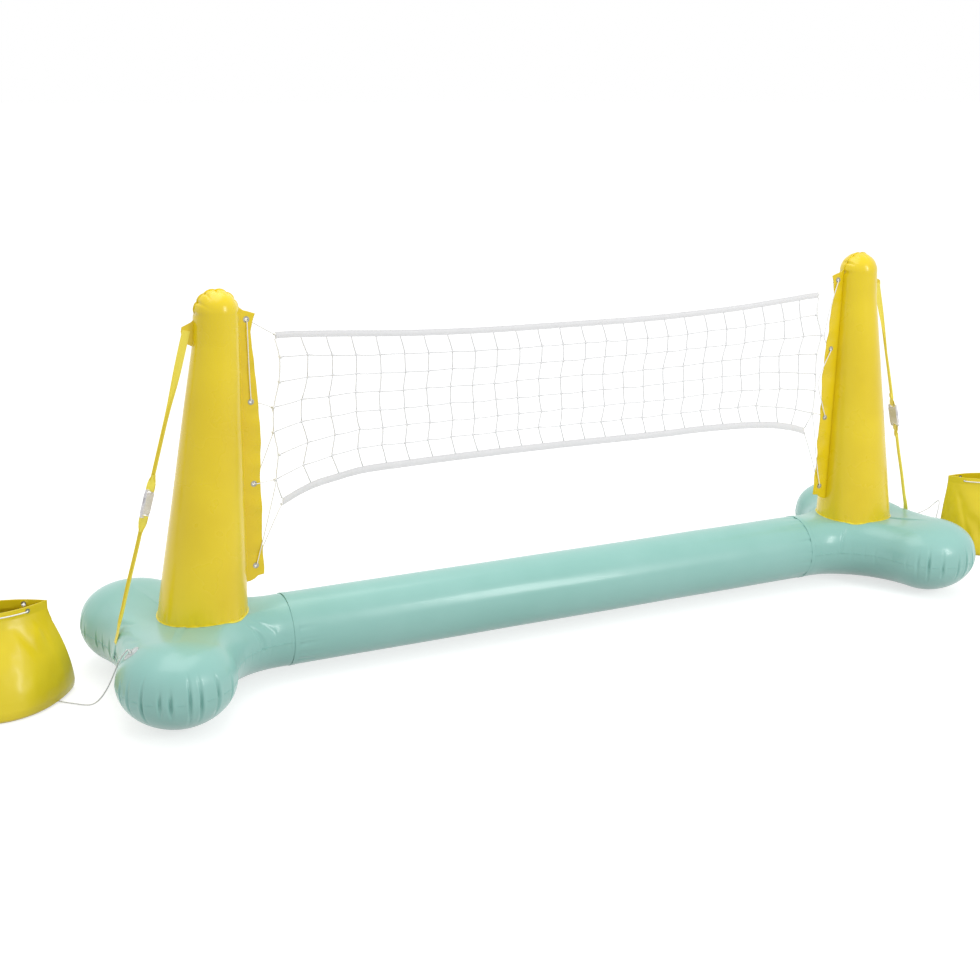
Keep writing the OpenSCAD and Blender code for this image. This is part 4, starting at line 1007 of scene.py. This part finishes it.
lacing = {
    "radius": 0.0012,
    "left": [
        (-751, 0, 806), (-757, 1, 809), (-790, 3, 829), (-809, 3.6, 841), (-816, 3.6, 844),
        (-816, -3.6, 844), (-815, -4, 836), (-814, -4, 760), (-811, -3.8, 668), (-810, -3.6, 657),
        (-810, 3.6, 657), (-802, 3.6, 655), (-785, 3.2, 650), (-764, 3.5, 642), (-757, 3.5, 632),
        (-757, 4, 606), (-759, 3.8, 578), (-764, 3.5, 566), (-785, 3.2, 512), (-803, 3.6, 475),
        (-808, 3.6, 466), (-808, -3.6, 466), (-800, -3.6, 466), (-785, -3.2, 468), (-762, -3.5, 471),
        (-757, -3.8, 462), (-762, -3.6, 440), (-785, -3.2, 350), (-804, -3.6, 282), (-808, -3.6, 270),
        (-808, 3.6, 270), (-803, 3.6, 281), (-785, 3, 320), (-762, 2, 370), (-742.5, 0, 410),
    ],
    "right": [
        (755, 0, 808), (761, 1, 811), (790, 3, 829), (809, 3.6, 841), (816, 3.6, 844), (816, -3.6, 844),
        (812, -3.8, 830), (800, -3.6, 790), (791, -3.4, 755), (784, -3.4, 712), (784, -1, 697),
        (786, 2.8, 688), (796, 3.4, 674), (805, 3.6, 662), (810, 3.6, 657), (810, -3.6, 657),
        (806, -3.8, 647), (792, -3.6, 620), (778, -3.6, 586), (772, -3.6, 566), (778, -3.6, 546),
        (792, -3.6, 508), (804, -3.8, 476), (808, -3.6, 466), (808, 3.6, 466), (799, 3.6, 472),
        (784, 3.4, 478), (769, 3.4, 479), (771, 3, 462), (778, 1, 430), (785, -3.4, 360),
        (803, -3.8, 284), (808, -3.6, 270), (808, 3.6, 270), (802, 3.6, 284), (782, 3, 340),
        (758, 2, 395), (742.5, 0, 428),
    ],
}
for end in ends:
    route = [(x / 1000, y / 1000, z / 1000) for x, y, z in lacing[end]]
    piece, _ = rope("lacing_" + end, route, lacing["radius"], whiteCord, sides=8, rounds=2,
                    knots=[(route[0], 0.0024), (route[-1], 0.0024)])
    settle(piece, "base", "white_cord", "lacing_" + end)
print("lacings made")

strap = {
    "top": (0.94998, 0.828), "foot": (1.144, 0.1037), "plane": -0.0009, "width": 0.018, "thick": 0.0006,
    "clipStart": 0.360, "clipLength": 0.0643, "loopHalf": 0.00315, "loopFar": 0.0039, "lead": 0.024,
    "twistAtClip": {"left": 35.0, "right": 75.0}, "twistAtFoot": 90.0, "pull": 0.018,
    "curl": 240.0, "across": 10,
    "tab": [(-0.030, 0.0070, 0.0012), (-0.027, 0.0100, 0.0014), (-0.012, 0.0108, 0.0014),
            (-0.002, 0.0118, 0.0012), (0.0035, 0.0122, 0.0012)],  # along, half width, half thickness
}


def strapFrame(end):
    side = sideOf(end)
    top = Vector((strap["top"][0] * side, strap["plane"], strap["top"][1]))
    low = Vector((strap["foot"][0] * side, strap["plane"], strap["foot"][1]))
    down = (low - top).normalized()
    flat = Vector((0, 1, 0)).cross(down) * -side
    return top, low, down, flat


def turned(flat, degrees):
    # the band's width and its own outward direction once it has turned about its length
    t, through = radians(degrees), Vector((0, 1, 0))
    return flat * cos(t) + through * sin(t), through * cos(t) - flat * sin(t)


def strapPiece(name, end, line, twistAt, curlAt, wave):
    # line is (out, along) in the band's section; the band turns as it runs and curls up across its width
    top, _, down, flat = strapFrame(end)
    path = [Vector((n, s, 0)) for n, s in line]
    fine = [path[0]]
    for p, q in zip(path, path[1:]):
        steps = max(1, int((q - p).length / 0.006))
        fine += [p.lerp(q, k / steps) for k in range(1, steps + 1)]
    path = softRoute(fine, 2)
    points, runs, across = [], [0.0], strap["across"]
    for i, p in enumerate(path):
        if i:
            runs.append(runs[-1] + (p - path[i - 1]).length)
        wide, out = turned(flat, twistAt(p.y))
        ahead = (path[min(i + 1, len(path) - 1)] - path[max(i - 1, 0)]).normalized()
        centre = top + down * p.y + out * (p.x + wave * sin(p.y * 41))
        normal = out * ahead.y - down * ahead.x
        curl = max(0.01, radians(curlAt(p.y)))
        bend = strap["width"] / curl
        upper, under = [], []
        for k in range(across + 1):
            q = curl * (k / across - 0.5)
            rise = cos(q) - sin(curl / 2) / (curl / 2)
            spot = centre + wide * (bend * sin(q)) + normal * (bend * rise)
            thick = (normal * cos(q) + wide * sin(q)) * strap["thick"] / 2
            upper.append(spot + thick)
            under.append(spot - thick)
        points += under + upper[::-1]
    widths = [strap["width"] * k / across for k in range(across + 1)]
    faces, uvs = tubeFaces(runs, widths + widths[::-1] + widths[:1], 0)
    return meshPiece(name, points, faces, strapWeb, uvs, sharp=40)


def makeStraps(end):
    a, b, down, flat = strapFrame(end)
    length = (b - a).length
    start, lead = strap["clipStart"], strap["lead"]
    stop = start + strap["clipLength"]
    clipTwist = strap["twistAtClip"][end]
    h, far, t = strap["loopHalf"], strap["loopFar"], strap["thick"]

    def upperTwist(s):
        return clipTwist * ease((s - 0.040) / (start - lead - 0.070))

    def lowerTwist(s):
        first, last = stop + lead + 0.020, length - 0.030
        return clipTwist + (strap["twistAtFoot"] - clipTwist) * ease((s - first) / (last - first))

    def upperCurl(s):
        return strap["curl"] * ease((s - 0.015) / 0.200) * ease((start - 0.010 - s) / 0.022)

    def lowerCurl(s):
        return strap["curl"] * ease((s - stop - 0.010) / 0.022) * ease((length - 0.050 - s) / 0.060)

    # each band runs to its bar, round it and back
    upper = [(0, 0), (0, start - lead - 0.012), (t * 0.6, start - lead), (h, start - 0.006),
             (h, start + far), (-h, start + far), (-h, start - 0.006), (-t * 0.6, start - lead),
             (-t * 0.6, start - lead - 0.010)]
    lower = [(-t * 0.6, stop + lead + 0.010), (-t * 0.6, stop + lead), (-h, stop + 0.006),
             (-h, stop - far), (h, stop - far), (h, stop + 0.006), (t * 0.6, stop + lead),
             (0, stop + lead + 0.012), (0, length)]
    top = strapPiece("strapUpper_" + end, end, upper, upperTwist, upperCurl, 0.0)
    settle(top, "base", "yellow_vinyl", "strap_upper_" + end)
    low = strapPiece("strapLower_" + end, end, lower, lowerTwist, lowerCurl, 0.0004)
    settle(low, "base", "yellow_vinyl", "strap_lower_" + end)
    # folded tab on the notch's edge that holds the strap's end
    wide, _ = turned(flat, strap["twistAtFoot"])
    thin, sides = wide.cross(down), 16
    tab = []
    for s, w, t in strap["tab"]:
        for i in range(sides):
            turn = 2 * pi * i / sides
            c, d = cos(turn), sin(turn)
            across = wide * w * copysign(abs(c) ** 0.35, c)
            tab.append(b + down * s + across + thin * t * copysign(abs(d) ** 0.6, d))
    rows = len(strap["tab"])
    tabFaces = bandFaces(rows, sides)
    tabFaces += [tuple(range(sides))[::-1], tuple(range((rows - 1) * sides, rows * sides))]
    tabPiece = meshPiece("strapTab_" + end, tab, tabFaces, aquaVinyl, sharp=45)
    settle(tabPiece, "base", "aqua_vinyl", "strap_tab_" + end)
    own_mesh(low)


for end in ends:
    makeStraps(end)
print("straps made")

bag = {
    "left": {"at": (-1.3875, 0.100), "turn": 0.0, "foot": (0.177, 0.135), "mouth": (0.125, 0.042),
             "seed": 3},
    "right": {"at": (1.4494, 0.0188), "turn": -25.0, "foot": (0.127, 0.095), "mouth": (0.114, 0.034),
              "seed": 9},
    "height": 0.220, "thick": 0.0012, "cuff": 0.020, "around": 320, "rows": 120, "hole": 0.0031,
    "folds": 26, "foldWidth": (0.05, 0.16), "foldDepth": (0.0010, 0.0034), "foldSlant": (-0.9, 0.9),
    "foldHeight": (0.05, 0.19), "foldReach": (0.04, 0.09), "sag": 0.0022, "crumple": 0.0012,
    "eyeletSides": (4, 11, 20, 27), "sides": 32, "cordRadius": 0.0015,
}


def bagSize(which, z):
    h = bag["height"]
    table = [(0, 0, 0.94), (0.006, 0, 0.985), (0.022, 0, 1.0), (h * 0.3, 0.12, 1.0), (h * 0.6, 0.5, 1.0),
             (h - bag["cuff"] - 0.024, 0.88, 1.0), (h - bag["cuff"], 1.0, 1.0), (h, 1.0, 1.0)]
    zs = np.array([r[0] for r in table])
    spread = np.linspace(-1, 1, 9) * min(0.030, z * 0.6, max(0.0, h - bag["cuff"] - z) * 0.6)
    fs = float(np.mean(np.interp(z + spread, zs, [r[1] for r in table])))
    ks = np.interp(z, zs, [r[2] for r in table])
    return tuple((low + (high - low) * fs) * ks for low, high in zip(which["foot"], which["mouth"]))


def lensPoint(a, b, t, power=2.0):
    return (a * cos(t), b * sin(t) * abs(sin(t)) ** (power - 1))


def bagPort(which, i, out):
    n = bag["sides"]
    p, q = (lensPoint(*which["mouth"], 2 * pi * k / n) for k in (i, i + 1))
    turn = atan2(q[1] - p[1], q[0] - p[0]) - pi / 2
    return Vector(((p[0] + q[0]) / 2 + out * cos(turn), (p[1] + q[1]) / 2 + out * sin(turn),
                   bag["height"] - bag["cuff"] / 2))


def placeBag(which, p):
    c, s = cos(radians(which["turn"])), sin(radians(which["turn"]))
    return Vector((which["at"][0] + p[0] * c - p[1] * s, which["at"][1] + p[0] * s + p[1] * c, p[2]))


def makeBag(end):
    which = bag[end]
    draw = random.Random(which["seed"]).uniform
    around, rows, h, cuff = (bag[key] for key in ("around", "rows", "height", "cuff"))
    # place round the bag, width, depth, slant, height and reach of each fold
    kinds = ("foldWidth", "foldDepth", "foldSlant", "foldHeight", "foldReach")
    folds = [(draw(0, 2 * pi), *(draw(*bag[kind]) for kind in kinds)) for _ in range(bag["folds"])]
    ports = [placeBag(which, bagPort(which, i, 0.0)) for i in bag["eyeletSides"]]
    points = []
    for j in range(rows + 1):
        z = h * j / rows
        a, b = bagSize(which, z)
        fullness = 1.6 + 0.4 * ease(z / (h - cuff - 0.030))
        calm = ease((h - cuff * 0.9 - z) / 0.05) * ease(z / 0.03)
        for i in range(around):
            t = 2 * pi * i / around
            x, y = lensPoint(a, b, t, fullness)
            out = Vector((cos(t) * b, sin(t) * a * 1.2)).normalized()
            push = (bag["sag"] * noise.noise(Vector((x * 16, y * 16, z * 11 + which["seed"])))
                    + bag["crumple"] * noise.noise(Vector((x * 40, y * 40, z * 22))))
            for at, width, depth, slant, centre, reach in folds:
                off = wrapped(t - at - slant * (z - centre) * 6)
                push -= depth * bell(off / width) * bell((z - centre) / reach)
            push = push * calm * (1 - abs(cos(t)) ** 10) - 0.0004
            points.append(placeBag(which, (x + out.x * push, y + out.y * push, z)))
    faces = []
    for quad in bandFaces(rows + 1, around):
        middle = sum((points[q] for q in quad), Vector()) / 4
        if min((middle - at).length for at in ports) > bag["hole"]:
            faces.append(quad)
    # the flat bottom, in rings to the middle
    centre = placeBag(which, (0, 0, 0))
    last = list(range(around))
    for w in (0.8, 0.5, 0.2):
        ring = list(range(len(points), len(points) + around))
        points += [centre.lerp(p, w) for p in points[:around]]
        faces += [(last[(i + 1) % around], last[i], ring[i], ring[(i + 1) % around]) for i in range(around)]
        last = ring
    faces += [(last[(i + 1) % around], last[i], len(points)) for i in range(around)]
    points.append(centre)
    piece = filmPiece("bagSkin_" + end, points, faces, bagVinyl, bag["thick"], offset=-1.0)
    settle(piece, "base", "yellow_vinyl", "bag_" + end)


def makeDrawcord(end):
    which = bag[end]
    s = bag["eyeletSides"]
    drop = Vector((0, 0, 0.002))
    out, into = 0.005, -0.006
    local = [bagPort(which, s[0], into) + Vector((0, -0.006, 0)), bagPort(which, s[0], into)]
    local += [bagPort(which, i, out) for i in range(s[0], s[1] + 1)]
    local += [bagPort(which, s[1], into), bagPort(which, s[2], into) - drop]
    local += [bagPort(which, i, out) for i in range(s[2], s[3] + 1)]
    local += [bagPort(which, s[3], into), bagPort(which, s[3], into) + Vector((0, 0.006, 0))]
    route = [placeBag(which, p) for p in local]
    piece, _ = rope("drawcord_" + end + "_cord", route, bag["cordRadius"], whiteCord, rounds=2,
                    knots=[(route[0], 0.0028), (route[-1], 0.0028)])
    settle(piece, "base", "white_cord", "drawcord_" + end)


for end in ends:
    makeBag(end)
    makeDrawcord(end)
print("bags made")

finishes = {
    "cuff_": aquaVinyl, "strap_ear_": yellowVinyl,
    "flap_eyelets_": grommet, "bag_eyelets_": grommet, "clip_": clipPlastic, "cord_patch_": clearVinyl,
    "cord_loop_": clearVinyl, "valve_": clearVinyl, "plug_": clearVinyl,
}
for name, node in nodes.items():
    for start, material in finishes.items():
        if name.startswith(start):
            for slot in node.material_slots:
                slot.material = material
print("solids finished")

stage = {
    "floorSize": 60, "floorZ": -0.0012, "floorTone": 0.50, "floorGlow": 0.68, "worldGrey": 0.86,
    "key": 60.0, "top": 48.0,
}


def makeFloor():
    deselectAll()
    bpy.ops.mesh.primitive_plane_add(size=stage["floorSize"], location=(0, 0, stage["floorZ"]))
    floor = bpy.context.object
    floor.name = "floor"
    material, tree, shader = newMaterial("floorPaper")
    tone = (*[stage["floorTone"]] * 3, 1)
    setValues(shader, {"Base Color": tone, "Roughness": 0.9, "Specular IOR Level": 0.0})
    glow = addNode(tree, "Emission", Strength=stage["floorGlow"])
    both = addNode(tree, "AddShader", {0: shader.outputs[0], 1: glow.outputs[0]})
    rays = addNode(tree, "LightPath").outputs
    seen = compute(tree, "MAXIMUM", rays["Is Camera Ray"], rays["Is Glossy Ray"])
    mix = addNode(tree, "MixShader", {0: seen, 1: shader.outputs[0], 2: both.outputs[0]})
    tree.links.new(mix.outputs[0], tree.nodes["Material Output"].inputs["Surface"])
    floor.data.materials.append(material)


def makeWorld():
    world = bpy.data.worlds.new("studio")
    bpy.context.scene.world = world
    world.use_nodes = True
    tree = world.node_tree
    tree.nodes.clear()
    soft = addNode(tree, "Background", Color=(1, 1, 1, 1), Strength=stage["worldGrey"])
    white = addNode(tree, "Background", Color=(1, 1, 1, 1), Strength=1.0)
    rays = addNode(tree, "LightPath").outputs
    mirror = compute(tree, "MAXIMUM", rays["Is Glossy Ray"], rays["Is Transmission Ray"])
    seen = compute(tree, "MAXIMUM", rays["Is Camera Ray"], mirror)
    mix = addNode(tree, "MixShader", {0: seen, 1: soft.outputs[0], 2: white.outputs[0]})
    addNode(tree, "OutputWorld", {"Surface": mix.outputs[0]})


def addArea(name, place, target, size, power):
    data = bpy.data.lights.new(name, "AREA")
    data.shape = "RECTANGLE"
    data.size, data.size_y = size
    data.energy = power
    lamp = bpy.data.objects.new(name, data)
    bpy.context.scene.collection.objects.link(lamp)
    aim = (Vector(target) - Vector(place)).to_track_quat("-Z", "Y")
    lamp.matrix_world = Matrix.Translation(Vector(place)) @ aim.to_matrix().to_4x4()


makeFloor()
makeWorld()
addArea("keyLight", (2.1, -4.1, 2.5), (0.0, 0.0, 0.4), (0.9, 2.0), stage["key"])
addArea("topLight", (-0.6, 0.4, 3.6), (0, 0, 0.2), (3.4, 2.4), stage["top"])
bpy.context.scene.view_settings.view_transform = "Standard"
print("stage lit")

bpy.context.view_layer.update()
